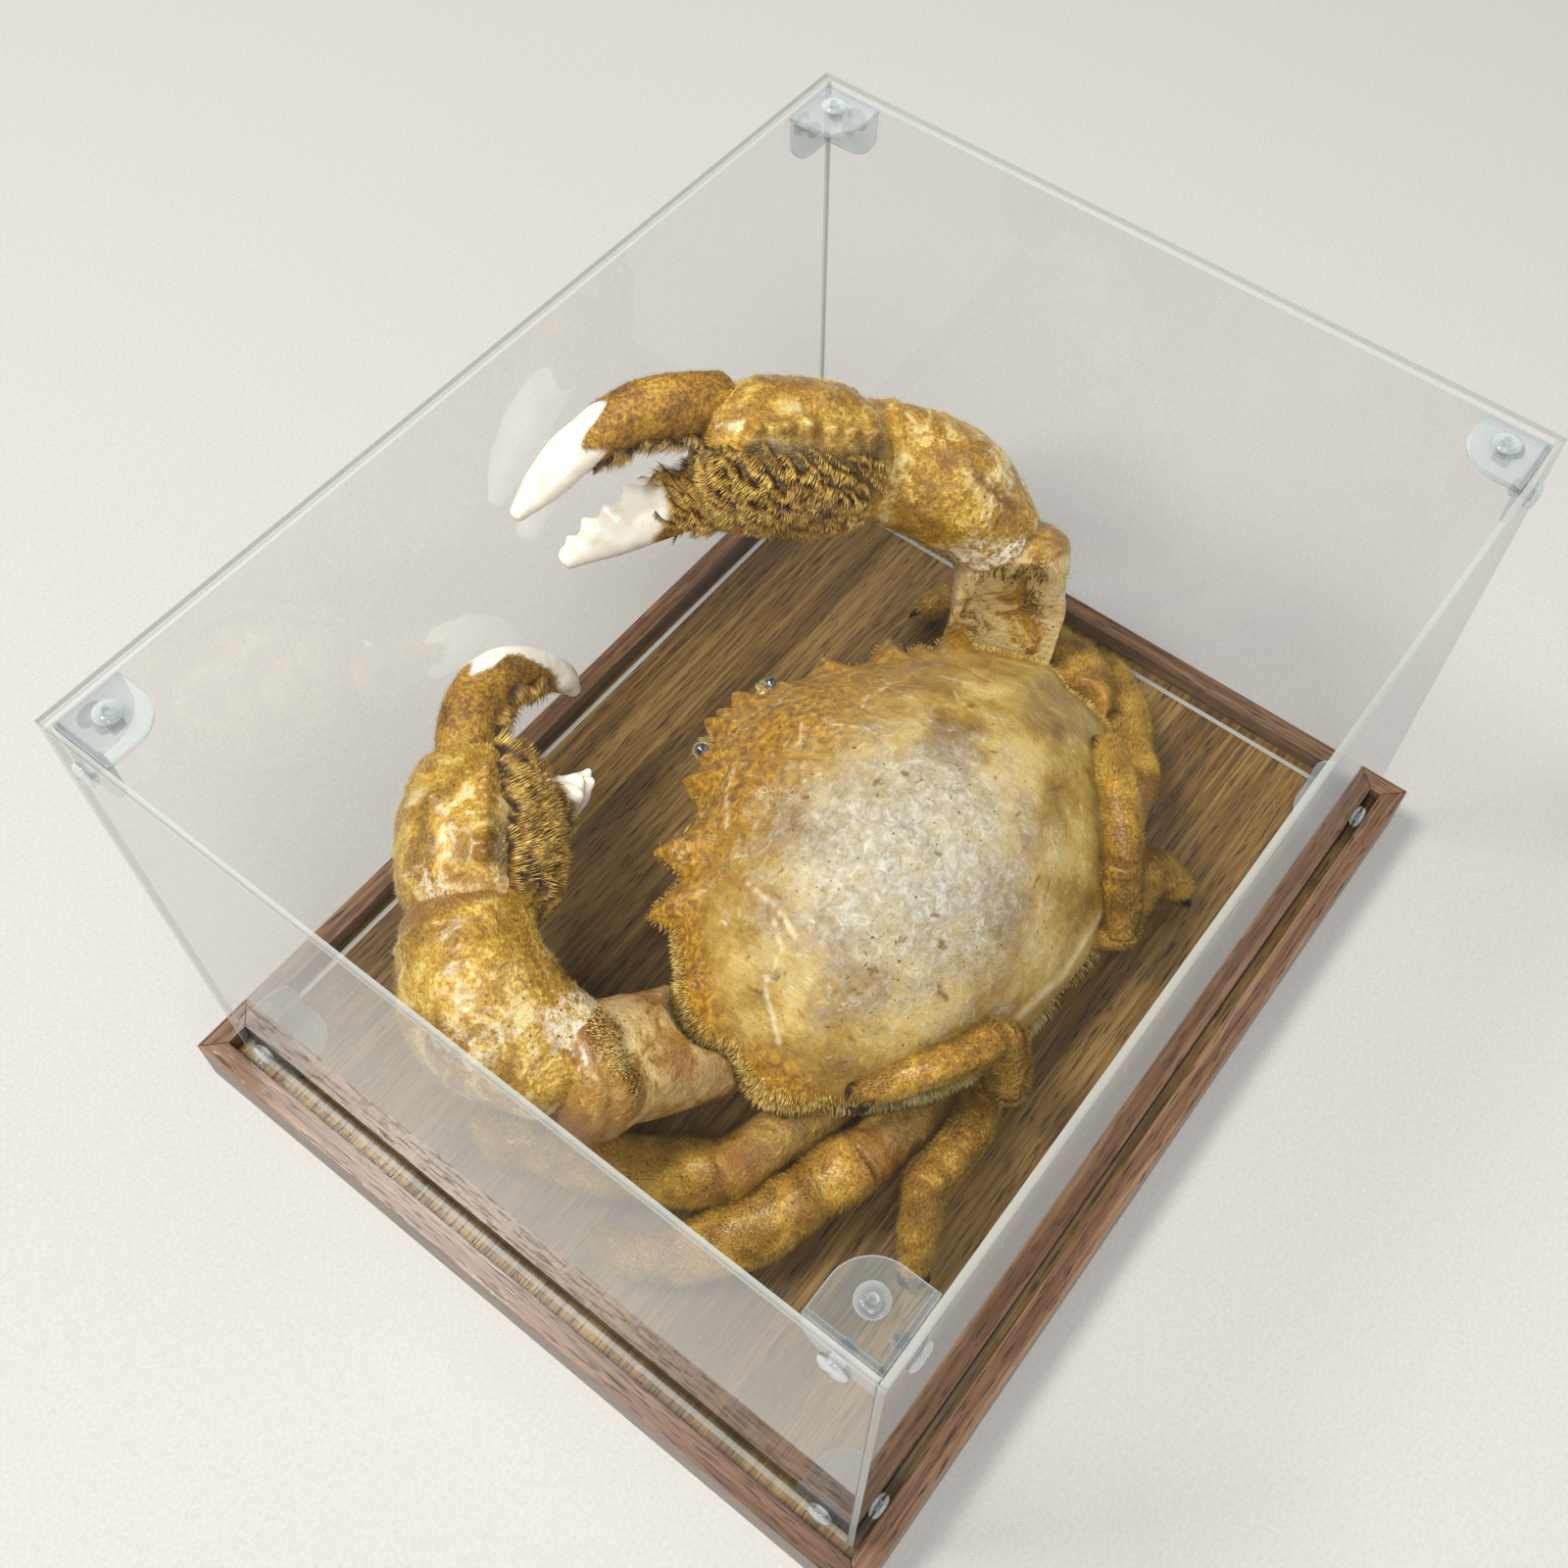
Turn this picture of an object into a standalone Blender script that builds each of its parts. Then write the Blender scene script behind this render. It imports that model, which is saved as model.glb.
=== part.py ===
"""A sponge crab (Lauridromia dehaani), dried and mounted life-size in a clear case on a wooden tray.

The crab faces -Y with its right side towards -X. Z = 0 is the underside of the tray, and the
origin is the middle of that underside. Sizes below are millimetres; the model is in metres.
"""
import math
import random

import bmesh
import bpy
from mathutils import Matrix, Vector

MM = 0.001
GAP = 0.3

# The tray: a board inside four mitred rails.
RAIL_WIDTH = 5.6
RAIL_HEIGHT = 18.0
BOARD_TOP = 12.5
TRAY_INNER_X = 254.4
TRAY_INNER_Y = 203.2

# The case: four walls and a lid of clear sheet, standing on the board.
SHEET = 1.5
CASE_X = 248.5
CASE_Y = 200.0
CASE_HEIGHT = 155.3

# The corner fittings: quarter-round leaves held by push rivets.
LEAF_REACH = 16.0
LEAF_THICK = 1.3
RIVET_INSET = 8.2
RIVET_PIN = 2.6
RIVET_HOLE = 3.4
RIVET_HEAD = 6.3
RIVET_HEAD_THICK = 1.1
RIVET_TAIL = 3.8
RIVET_SIDES = 6

# The crab's body, in its own frame: u to its left, v to its rear, w up from the shell's edge.
BODY_PLACE = (-12.5, 10.0, 31.5)
BODY_PITCH = 11.0
BODY_ROLL = 2.5
BODY_HEADING = -1.5
SHELL_HALF_WIDTH = 70.5
SHELL_FRONT = 59.0
SHELL_REAR = 56.0
FRONT_POWER = 1.42
REAR_POWER = 2.3
DOME_HEIGHT = 41.0
SHELL_FLOOR = -9.0
SHELL_FLOOR_SHARE = 0.70
THORAX_DEPTH = 12.2
ABDOMEN_THICK = 3.6
EYE_SPAN = 29.0
EYE_SIZE = 3.2


def clear_scene():
    for thing in list(bpy.data.objects):
        bpy.data.objects.remove(thing)


def at(x, y, z):
    """A point in millimetres from the case's middle, its height taken from the board's top."""
    return Vector((x * MM, y * MM, (z + BOARD_TOP) * MM))


def body_matrix():
    """The frame of the crab's body in the world."""
    turn = Matrix.Rotation(math.radians(BODY_HEADING), 4, "Z")
    lean = Matrix.Rotation(math.radians(-BODY_ROLL), 4, "Y")
    front_up = Matrix.Rotation(math.radians(-BODY_PITCH), 4, "X")
    return Matrix.Translation(at(*BODY_PLACE)) @ turn @ lean @ front_up


BODY = body_matrix()


def in_body(u, v, w):
    """A point of the body's frame in the world, with v measured from the dome's crest."""
    return BODY @ Vector((u * MM, v * MM, w * MM))


def linear(hex_colour):
    """An sRGB hex colour as linear red, green and blue."""
    channels = [int(hex_colour[i:i + 2], 16) / 255 for i in (0, 2, 4)]
    return [c / 12.92 if c <= 0.04045 else ((c + 0.055) / 1.055) ** 2.4 for c in channels]


def material(name, hex_colour, roughness, metallic=0.0, alpha=1.0):
    mat = bpy.data.materials.get(name) or bpy.data.materials.new(name)
    mat.use_nodes = True
    shader = mat.node_tree.nodes["Principled BSDF"]
    shader.inputs["Base Color"].default_value = (*linear(hex_colour), 1.0)
    shader.inputs["Roughness"].default_value = roughness
    shader.inputs["Metallic"].default_value = metallic
    shader.inputs["Alpha"].default_value = alpha
    return mat


def veneer():
    return material("walnut_veneer", "6f5a42", 0.5)


def rail_wood():
    return material("stained_rail", "5d3d2e", 0.45)


def clear_sheet():
    return material("clear_sheet", "eef2f2", 0.05, alpha=0.2)


def clear_fitting():
    return material("clear_fitting", "dfe3e3", 0.15, alpha=0.5)


def shell():
    return material("golden_shell", "c39a52", 0.5)


def velvet():
    return material("golden_velvet", "b5842f", 0.8)


def bare_shell():
    return material("pale_underside", "c9b48c", 0.55)


def tufted():
    return material("matted_hair", "9a7434", 0.85)


def ivory():
    return material("ivory_finger", "ece3cd", 0.35)


def horn():
    return material("black_claw", "1d1712", 0.3)


def cornea():
    return material("grey_cornea", "6a7072", 0.1)


def add_object(name, bm, mat):
    """Make a smooth-shaded object of a closed mesh whose faces point out."""
    bmesh.ops.remove_doubles(bm, verts=bm.verts, dist=0.002 * MM)
    bmesh.ops.recalc_face_normals(bm, faces=bm.faces)
    mesh = bpy.data.meshes.new(name)
    bm.to_mesh(mesh)
    bm.free()
    mesh.shade_smooth()
    mesh.set_sharp_from_angle(angle=math.radians(40))
    mesh.materials.append(mat)
    thing = bpy.data.objects.new(name, mesh)
    bpy.context.scene.collection.objects.link(thing)
    return thing


def apply_modifiers(thing):
    """Turn an object's modifiers into its own mesh."""
    depsgraph = bpy.context.evaluated_depsgraph_get()
    mesh = bpy.data.meshes.new_from_object(thing.evaluated_get(depsgraph))
    thing.modifiers.clear()
    thing.data = mesh


def combine(thing, others, operation="UNION"):
    """One Boolean of an object with a collection of closed objects, which are then removed."""
    group = bpy.data.collections.new(thing.name + "_parts")
    bpy.context.scene.collection.children.link(group)
    for other in others:
        group.objects.link(other)
    boolean = thing.modifiers.new(operation.lower(), "BOOLEAN")
    boolean.operation = operation
    boolean.operand_type = "COLLECTION"
    boolean.collection = group
    boolean.solver = "EXACT"
    apply_modifiers(thing)
    for other in list(group.objects):
        bpy.data.objects.remove(other)
    bpy.data.collections.remove(group)
    keep_largest(thing)
    return thing


def keep_largest(thing):
    """Keep only the largest closed surface of an object."""
    bm = bmesh.new()
    bm.from_mesh(thing.data)
    bmesh.ops.remove_doubles(bm, verts=bm.verts, dist=0.002 * MM)
    left = set(bm.faces)
    pieces = []
    while left:
        stack = [left.pop()]
        piece = []
        while stack:
            face = stack.pop()
            piece.append(face)
            for edge in face.edges:
                for other in edge.link_faces:
                    if other in left:
                        left.discard(other)
                        stack.append(other)
        pieces.append(piece)
    pieces.sort(key=lambda piece: sum(face.calc_area() for face in piece))
    for piece in pieces[:-1]:
        bmesh.ops.delete(bm, geom=piece, context="FACES")
    bm.to_mesh(thing.data)
    bm.free()


def box(name, low, high, mat):
    """A plain block between two corners in metres."""
    bm = bmesh.new()
    bmesh.ops.create_cube(bm, size=1.0)
    size = high - low
    bmesh.ops.scale(bm, vec=size, verts=bm.verts)
    bmesh.ops.translate(bm, vec=(low + high) / 2, verts=bm.verts)
    return add_object(name, bm, mat)


def rod(bm, start, end, diameter, sides=12, end_diameter=None):
    """A capped cylinder or cone between two points."""
    axis = end - start
    turn = axis.to_track_quat("Z", "Y").to_matrix().to_4x4()
    place = Matrix.Translation((start + end) / 2) @ turn
    radius = diameter * MM / 2
    end_radius = radius if end_diameter is None else end_diameter * MM / 2
    bmesh.ops.create_cone(bm, cap_ends=True, segments=sides, radius1=radius, radius2=end_radius,
                          depth=axis.length, matrix=place)


def blend(values, t):
    """A smooth curve through a list of numbers or vectors, at t from 0 to 1."""
    spans = len(values) - 1
    place = min(max(t, 0.0), 1.0) * spans
    i = min(int(place), spans - 1)
    f = place - i
    b, c = values[i], values[i + 1]
    a = values[i - 1] if i > 0 else b * 2 - c
    d = values[i + 2] if i + 2 <= spans else c * 2 - b
    return b + ((c - a) * f + (a * 2 - b * 5 + c * 4 - d) * f * f
                + (b * 3 - a - c * 3 + d) * f * f * f) * 0.5


def ring_at(centre, along, up, width, height, sides, power=2.0):
    """Points of one oval section, width across and height along the up direction."""
    side = along.cross(up).normalized()
    rise = side.cross(along).normalized()
    points = []
    for k in range(sides):
        angle = 2 * math.pi * k / sides
        c, s = math.cos(angle), math.sin(angle)
        x = math.copysign(abs(c) ** (2 / power), c) * width / 2
        y = math.copysign(abs(s) ** (2 / power), s) * height / 2
        points.append(centre + (side * x + rise * y) * MM)
    return points


def skin_rings(rings):
    """A closed mesh over a row of rings with a flat cap on each end."""
    bm = bmesh.new()
    rows = [[bm.verts.new(p) for p in ring] for ring in rings]
    for a, b in zip(rows, rows[1:]):
        for k in range(len(a)):
            n = (k + 1) % len(a)
            bm.faces.new((a[k], a[n], b[n], b[k]))
    bm.faces.new(rows[0])
    bm.faces.new(rows[-1][::-1])
    return bm


def sweep(points, widths, heights, up, sides=12, steps=8, power=2.0, blunt=(0.0, 0.0)):
    """A tube along a smooth path, with sizes in millimetres.

    blunt rounds an end over that share of the length.
    """
    stops = [k / steps for k in range(steps + 1)]
    rings = []
    for t in stops:
        along = (blend(points, min(t + 0.02, 1)) - blend(points, max(t - 0.02, 0))).normalized()
        rings.append((blend(points, t), along, blend(widths, t), blend(heights, t)))
    made = [ring_at(c, a, up, w, h, sides, power) for c, a, w, h in rings]
    first, last = rings[0], rings[-1]
    if blunt[0]:
        for share in (0.75, 0.35):
            reach = first[0] - first[1] * blunt[0] * (1 - share ** 2) * MM
            made.insert(0, ring_at(reach, first[1], up, first[2] * share, first[3] * share, sides, power))
    if blunt[1]:
        for share in (0.75, 0.35):
            reach = last[0] + last[1] * blunt[1] * (1 - share ** 2) * MM
            made.append(ring_at(reach, last[1], up, last[2] * share, last[3] * share, sides, power))
    return skin_rings(made)


def slice_off(bm, point, normal):
    """Cut away what lies beyond a plane and close the cut with a flat face."""
    geometry = bm.verts[:] + bm.edges[:] + bm.faces[:]
    cut = bmesh.ops.bisect_plane(bm, geom=geometry, plane_co=point, plane_no=normal,
                                 dist=1e-7, clear_outer=True)
    edges = [item for item in cut["geom_cut"] if isinstance(item, bmesh.types.BMEdge)]
    bmesh.ops.contextual_create(bm, geom=edges)


def joint_plane(before, here, after):
    """The normal of the plane that parts two segments of a limb at their joint."""
    return ((here - before).normalized() + (after - here).normalized()).normalized()


# The tray and the case

def make_tray():
    """The board that the case stands on, and its four mitred rails."""
    half_x = TRAY_INNER_X / 2
    half_y = TRAY_INNER_Y / 2
    low = Vector(((-half_x + GAP) * MM, (-half_y + GAP) * MM, 0))
    high = Vector(((half_x - GAP) * MM, (half_y - GAP) * MM, BOARD_TOP * MM))
    box("tray_board", low, high, veneer())
    for name, turn, inner, other in (("front", 0, half_y, half_x), ("right", 90, half_x, half_y),
                                     ("rear", 180, half_y, half_x), ("left", 270, half_x, half_y)):
        make_rail("tray_rail_" + name, turn, inner, other)


def make_rail(name, turn, inner, other):
    """One rail with mitred ends, drawn along the front and turned to its side."""
    outer = inner + RAIL_WIDTH
    long = other + RAIL_WIDTH
    ease = GAP / 2
    outline = [(-other + ease, -inner), (other - ease, -inner),
               (long - ease, -outer), (-long + ease, -outer)]
    bm = bmesh.new()
    floor = [bm.verts.new((x * MM, y * MM, 0)) for x, y in outline]
    face = bm.faces.new(floor)
    grown = bmesh.ops.extrude_face_region(bm, geom=[face])
    top = [item for item in grown["geom"] if isinstance(item, bmesh.types.BMVert)]
    bmesh.ops.translate(bm, vec=(0, 0, RAIL_HEIGHT * MM), verts=top)
    bmesh.ops.rotate(bm, cent=(0, 0, 0), matrix=Matrix.Rotation(math.radians(turn), 3, "Z"),
                     verts=bm.verts)
    add_object(name, bm, rail_wood())


def wall_centres():
    """Name, outward direction and distance of each wall's outer face."""
    return (("front", Vector((0, -1, 0)), CASE_Y / 2), ("rear", Vector((0, 1, 0)), CASE_Y / 2),
            ("right", Vector((-1, 0, 0)), CASE_X / 2), ("left", Vector((1, 0, 0)), CASE_X / 2))


def make_case():
    """Four walls and the lid, each pierced for the fittings' rivets."""
    for name, out, reach in wall_centres():
        across = Vector((0, 0, 1)).cross(out)
        half = CASE_X / 2 if out.y else CASE_Y / 2 - SHEET - GAP
        spread = Vector((abs(across.x), abs(across.y), 0)) * half
        inner, outer = out * (reach - SHEET), out * reach
        low = Vector([min(inner[k], outer[k]) - spread[k] for k in range(3)])
        high = Vector([max(inner[k], outer[k]) + spread[k] for k in range(3)])
        low.z, high.z = GAP, CASE_HEIGHT - SHEET - GAP
        wall = box("case_wall_" + name, at(*low), at(*high), clear_sheet())
        along = (CASE_X if out.y else CASE_Y) / 2 - SHEET - RIVET_INSET
        holes = [spread.normalized() * along * side + out * reach + Vector((0, 0, z))
                 for side in (-1, 1) for z in rivet_heights()]
        pierce(wall, holes, out)
    lid_low = at(-CASE_X / 2, -CASE_Y / 2, CASE_HEIGHT - SHEET)
    lid = box("case_lid", lid_low, at(CASE_X / 2, CASE_Y / 2, CASE_HEIGHT), clear_sheet())
    inset = SHEET + RIVET_INSET
    holes = [Vector((sx * (CASE_X / 2 - inset), sy * (CASE_Y / 2 - inset), CASE_HEIGHT))
             for sx in (-1, 1) for sy in (-1, 1)]
    pierce(lid, holes, Vector((0, 0, 1)))


def rivet_heights():
    """Heights of the lower and upper rows of rivets in the walls."""
    return RIVET_INSET, CASE_HEIGHT - SHEET - RIVET_INSET


def pierce(panel, centres, out):
    """Drill the rivet holes through a panel."""
    bm = bmesh.new()
    for centre in centres:
        rod(bm, at(*(centre - out * SHEET * 2)), at(*(centre + out * SHEET)), RIVET_HOLE, RIVET_SIDES)
    drill = add_object(panel.name + "_drill", bm, clear_sheet())
    combine(panel, [drill], "DIFFERENCE")


def make_fittings():
    """A clear three-leaved fitting in each of the case's eight corners."""
    for level in ("top", "bottom"):
        for front_name, sy in (("front", -1), ("rear", 1)):
            for side_name, sx in (("right", -1), ("left", 1)):
                make_fitting("fitting_%s_%s_%s" % (level, front_name, side_name), level, sx, sy)


def make_fitting(name, level, sx, sy):
    """Three quarter-round leaves that meet in a corner, with a rivet through each pierced sheet."""
    up = 1 if level == "top" else -1
    inner = (CASE_X / 2 - SHEET - GAP, CASE_Y / 2 - SHEET - GAP)
    height = CASE_HEIGHT - SHEET - GAP if up > 0 else GAP
    corner = Vector((sx * inner[0], sy * inner[1], height))
    inward = [Vector((-sx, 0, 0)), Vector((0, -sy, 0)), Vector((0, 0, -up))]
    leaves = []
    for k in range(3):
        one, other = inward[(k + 1) % 3], inward[(k + 2) % 3]
        leaves.append(leaf(name, corner, one, other, inward[k]))
    for k in range(2 if up < 0 else 3):
        along = inward[(k + 1) % 3] + inward[(k + 2) % 3]
        leaves.append(rivet(name, corner + along * (RIVET_INSET - GAP), inward[k]))
    combine(leaves[0], leaves[1:])


def leaf(name, corner, one, other, inward):
    """A flat leaf with two straight sides and a quarter-round outer edge."""
    outline = [Vector((0, 0, 0))]
    square = LEAF_REACH * 0.45
    outline.append(one * LEAF_REACH)
    for k in range(5):
        angle = math.pi / 2 * k / 4
        reach = LEAF_REACH - square
        outline.append(one * (square + reach * math.cos(angle)) + other * (square + reach * math.sin(angle)))
    outline.append(other * LEAF_REACH)
    bm = bmesh.new()
    face = bm.faces.new([bm.verts.new(at(*(corner + p))) for p in outline])
    grown = bmesh.ops.extrude_face_region(bm, geom=[face])
    top = [item for item in grown["geom"] if isinstance(item, bmesh.types.BMVert)]
    bmesh.ops.translate(bm, vec=inward * LEAF_THICK * MM, verts=top)
    return add_object(name, bm, clear_fitting())


def rivet(name, centre, inward):
    """A push rivet: flat head outside the sheet, pin through it and a wider tail inside."""
    head = -GAP - SHEET - GAP
    stops = [(head - RIVET_HEAD_THICK, RIVET_HEAD), (head, RIVET_HEAD), (head + 0.01, RIVET_PIN),
             (LEAF_THICK + 0.4, RIVET_PIN), (LEAF_THICK + 0.8, RIVET_TAIL), (LEAF_THICK + 3.4, RIVET_PIN)]
    up = inward.orthogonal()
    rings = [ring_at(at(*(centre + inward * z)), inward, up, d, d, RIVET_SIDES) for z, d in stops]
    return add_object(name + "_rivet", skin_rings(rings), clear_fitting())


# The crab's body

def shell_radius(angle):
    """Distance from the dome's crest to the shell's smooth edge; angle 0 points to the front."""
    c, s = math.cos(angle), math.sin(angle)
    power = FRONT_POWER if c > 0 else REAR_POWER
    length = SHELL_FRONT if c > 0 else SHELL_REAR
    return (abs(s / SHELL_HALF_WIDTH) ** power + abs(c / length) ** power) ** (-1 / power)


def edge_bulge(angle):
    """The two rounded lobes that end each side of the shell, in front of and behind the notch."""
    turn = math.degrees(abs(math.atan2(math.sin(angle), math.cos(angle))))
    front_lobe = 2.0 * math.exp(-((turn - 81) / 7) ** 2)
    rear_lobe = 5.0 * math.exp(-((turn - 103) / 8) ** 2)
    notch = -2.0 * math.exp(-((turn - 91.5) / 3) ** 2)
    return front_lobe + rear_lobe + notch


def edge_height(angle):
    """How far the shell's edge rises over the body's frame: highest at the sides of the front."""
    turn = abs(math.atan2(math.sin(angle), math.cos(angle)))
    return 3.2 * math.sin(min(turn * 1.5, math.pi)) - 1.2 * (1 - math.cos(turn)) / 2


def shell_point(angle, share):
    """A point of the shell's upper surface, at a share of the way from the crest to the edge."""
    radius = (shell_radius(angle) + edge_bulge(angle) * share ** 6) * share
    forward = max(math.cos(angle), 0.0)
    power = 2.2 - 0.3 * forward
    swell = (1 - share ** power) ** (0.70 + 0.12 * forward)
    edge = edge_height(angle)
    return radius * math.sin(angle), -radius * math.cos(angle), edge + (DOME_HEIGHT - edge) * swell


SHELL_SIDES = 48
TOP_SHARES = (0.18, 0.36, 0.53, 0.68, 0.80, 0.89, 0.955, 0.995)
UNDER_ROWS = ((1.0, -1.6), (0.955, -3.6), (0.86, -6.4))


def make_carapace():
    """The domed shell with its edge teeth, closed underneath by a flat floor."""
    bm = bmesh.new()
    angles = [2 * math.pi * k / SHELL_SIDES for k in range(SHELL_SIDES)]
    rows = [[in_body(*shell_point(a, share)) for a in angles] for share in TOP_SHARES]
    for share, drop in UNDER_ROWS:
        rows.append([under_point(a, share, drop) for a in angles])
    rows.append([under_point(a, SHELL_FLOOR_SHARE, None) for a in angles])
    made = [[bm.verts.new(p) for p in row] for row in rows]
    crest = bm.verts.new(in_body(0, 0, DOME_HEIGHT))
    for k in range(SHELL_SIDES):
        n = (k + 1) % SHELL_SIDES
        bm.faces.new((crest, made[0][k], made[0][n]))
        for a, b in zip(made, made[1:]):
            bm.faces.new((a[k], b[k], b[n], a[n]))
    bm.faces.new(made[-1])
    carapace = add_object("carapace", bm, shell())
    combine(carapace, [edge_tooth(*tooth) for tooth in shell_teeth()])
    sockets = [eye_solid(side, EYE_SIZE + 3 * GAP, 2 * GAP) for side in (-1, 1)]
    combine(carapace, sockets + STUB_ROOMS + copies(LIMB_ROOMS), "DIFFERENCE")


def under_point(angle, share, drop):
    """A point of the shell's underside, which draws in below the edge to the flat floor."""
    radius = (shell_radius(angle) + edge_bulge(angle) * share ** 6) * share
    w = SHELL_FLOOR if drop is None else edge_height(angle) + drop
    return in_body(radius * math.sin(angle), -radius * math.cos(angle), w)


def shell_teeth():
    """Each tooth of the shell's edge: angle from the front, reach past the edge, base, lift, droop."""
    teeth = []
    for side in (-1, 1):
        teeth.append((side * 5.5, 5.0, 6.5, 0.5, -1.5))
        teeth.append((side * 29.0, 5.5, 7.5, 1.5, -0.5))
        teeth.append((side * 46.0, 10.0, 10.0, 1.0, 0.5))
        teeth.append((side * 64.0, 9.5, 9.5, 1.5, 1.0))
    teeth.append((0.0, 3.5, 5.0, -2.0, -4.0))
    teeth.append((-55.0, 3.5, 4.0, 0.5, 0.0))
    return teeth


def edge_tooth(degrees, reach, base, lift, droop):
    """A blunt cone rooted in the shell's edge and pointing out."""
    angle = math.radians(degrees)
    edge = Vector(shell_point(angle, 0.995))
    out = Vector((math.sin(angle), -math.cos(angle), 0))
    root = edge - out * base * 0.8
    path = [root, edge + out * reach * 0.45 + Vector((0, 0, lift)), edge + out * reach + Vector((0, 0, droop))]
    points = [in_body(*p) for p in path]
    up = BODY.to_3x3() @ Vector((0, 0, 1))
    bm = sweep(points, [base * 1.5, base * 0.8, base * 0.28], [base * 0.55, base * 0.55, base * 0.28],
               up, sides=6, steps=3, blunt=(0.0, base * 0.1))
    return add_object("edge_tooth", bm, shell())


def eye_place(side):
    angle = math.asin(side * EYE_SPAN / 2 / (SHELL_FRONT - 6.0))
    edge = Vector(shell_point(angle, 0.995))
    return Vector((side * EYE_SPAN / 2, edge.y - 0.6, edge.z - 2.2))


def eye_solid(side, size, deeper=0.0):
    """An eyestalk with its rounded end, from under the shell's edge outwards."""
    tip = eye_place(side)
    reach = Vector((-side * 3.5, 5.0, -0.6))
    root = tip + reach * (1 + deeper / reach.length)
    up = BODY.to_3x3() @ Vector((0, 0, 1))
    points = [in_body(*root), in_body(*((root + tip) / 2)), in_body(*tip)]
    widths = [size * 0.75, size * 0.8, size]
    bm = sweep(points, widths, widths, up, sides=10, steps=4, blunt=(0.0, size * 0.5))
    return add_object("eye_socket", bm, cornea())


def make_eyes():
    for name, side in (("left", 1), ("right", -1)):
        eye = eye_solid(side, EYE_SIZE)
        eye.name = "eye_" + name


def outline_row(scale_u, front, rear, w, sides=24, power=2.4):
    """An oval row of the body's underside in the world."""
    row = []
    for k in range(sides):
        angle = 2 * math.pi * k / sides
        c, s = math.cos(angle), math.sin(angle)
        u = math.copysign(abs(s) ** (2 / power), s) * scale_u
        v = -math.copysign(abs(c) ** (2 / power), c) * (front if c > 0 else rear)
        row.append(in_body(u, v, w))
    return row


def make_thorax():
    """The breastplate block under the shell, with the stubs that the limbs grow from."""
    top = SHELL_FLOOR - GAP
    rows = [outline_row(40, 36, 40, top), outline_row(39, 35, 41, top - THORAX_DEPTH * 0.5),
            outline_row(32, 28, 34, top - THORAX_DEPTH)]
    thorax = add_object("thorax", skin_rings(rows), bare_shell())
    combine(thorax, STUBS)
    combine(thorax, LIMB_ROOMS, "DIFFERENCE")


def make_abdomen():
    """The tail flap folded forward under the thorax, narrowing in steps."""
    w = SHELL_FLOOR - GAP * 2 - THORAX_DEPTH
    path = [in_body(0, 31, w - ABDOMEN_THICK / 2), in_body(0, 5, w - ABDOMEN_THICK / 2),
            in_body(0, -20, w - ABDOMEN_THICK / 2)]
    up = BODY.to_3x3() @ Vector((0, 0, 1))
    thick = [ABDOMEN_THICK, ABDOMEN_THICK, ABDOMEN_THICK * 0.8]
    bm = sweep(path, [34, 30, 12], thick, up, sides=12, steps=7, power=3.0)
    add_object("abdomen", bm, bare_shell())


def make_mouthparts():
    """The paired outer jaws that close the mouth like doors, below the front of the shell."""
    up = BODY.to_3x3() @ Vector((0, -1, -0.4))
    for name, side in (("left", 1), ("right", -1)):
        path = [in_body(side * 6.3, -38.4, -11.8), in_body(side * 6.3, -38.0, -16.5),
                in_body(side * 6.0, -32.6, -21.4)]
        bm = sweep(path, [8, 11, 7], [4.0, 4.5, 3.5], up, sides=10, steps=5, power=2.6, blunt=(1.0, 1.0))
        add_object("maxilliped_" + name, bm, velvet())


def make_antennae():
    """Short feelers that start below the eyes."""
    up = BODY.to_3x3() @ Vector((0, 0, 1))
    for name, side in (("left", 1), ("right", -1)):
        path = [in_body(side * 14.5, -36.6, -12.5), in_body(side * 18, -42.0, -11.5),
                in_body(side * 24, -46.0, -11.5), in_body(side * 30, -46.0, -13.5)]
        size = [3.0, 1.9, 1.1, 0.7]
        add_object("antenna_" + name, sweep(path, size, size, up, sides=8, steps=9), velvet())


# The limbs

STUBS = []
STUB_ROOMS = []
LIMB_ROOMS = []
ROOM = 1.1
STUB_ROOM = 2.0
THUMB_ROOM = 0.8


def copies(things):
    """Fresh copies of some objects, so that the first ones can be used again."""
    made = []
    for thing in things:
        other = thing.copy()
        other.data = thing.data.copy()
        bpy.context.scene.collection.objects.link(other)
        made.append(other)
    return made


def wider(sizes, room, share=1.0):
    """Sizes with some room all round: a share more for coarse rooms, and a margin on top."""
    return [size * share + room for size in sizes]


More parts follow.
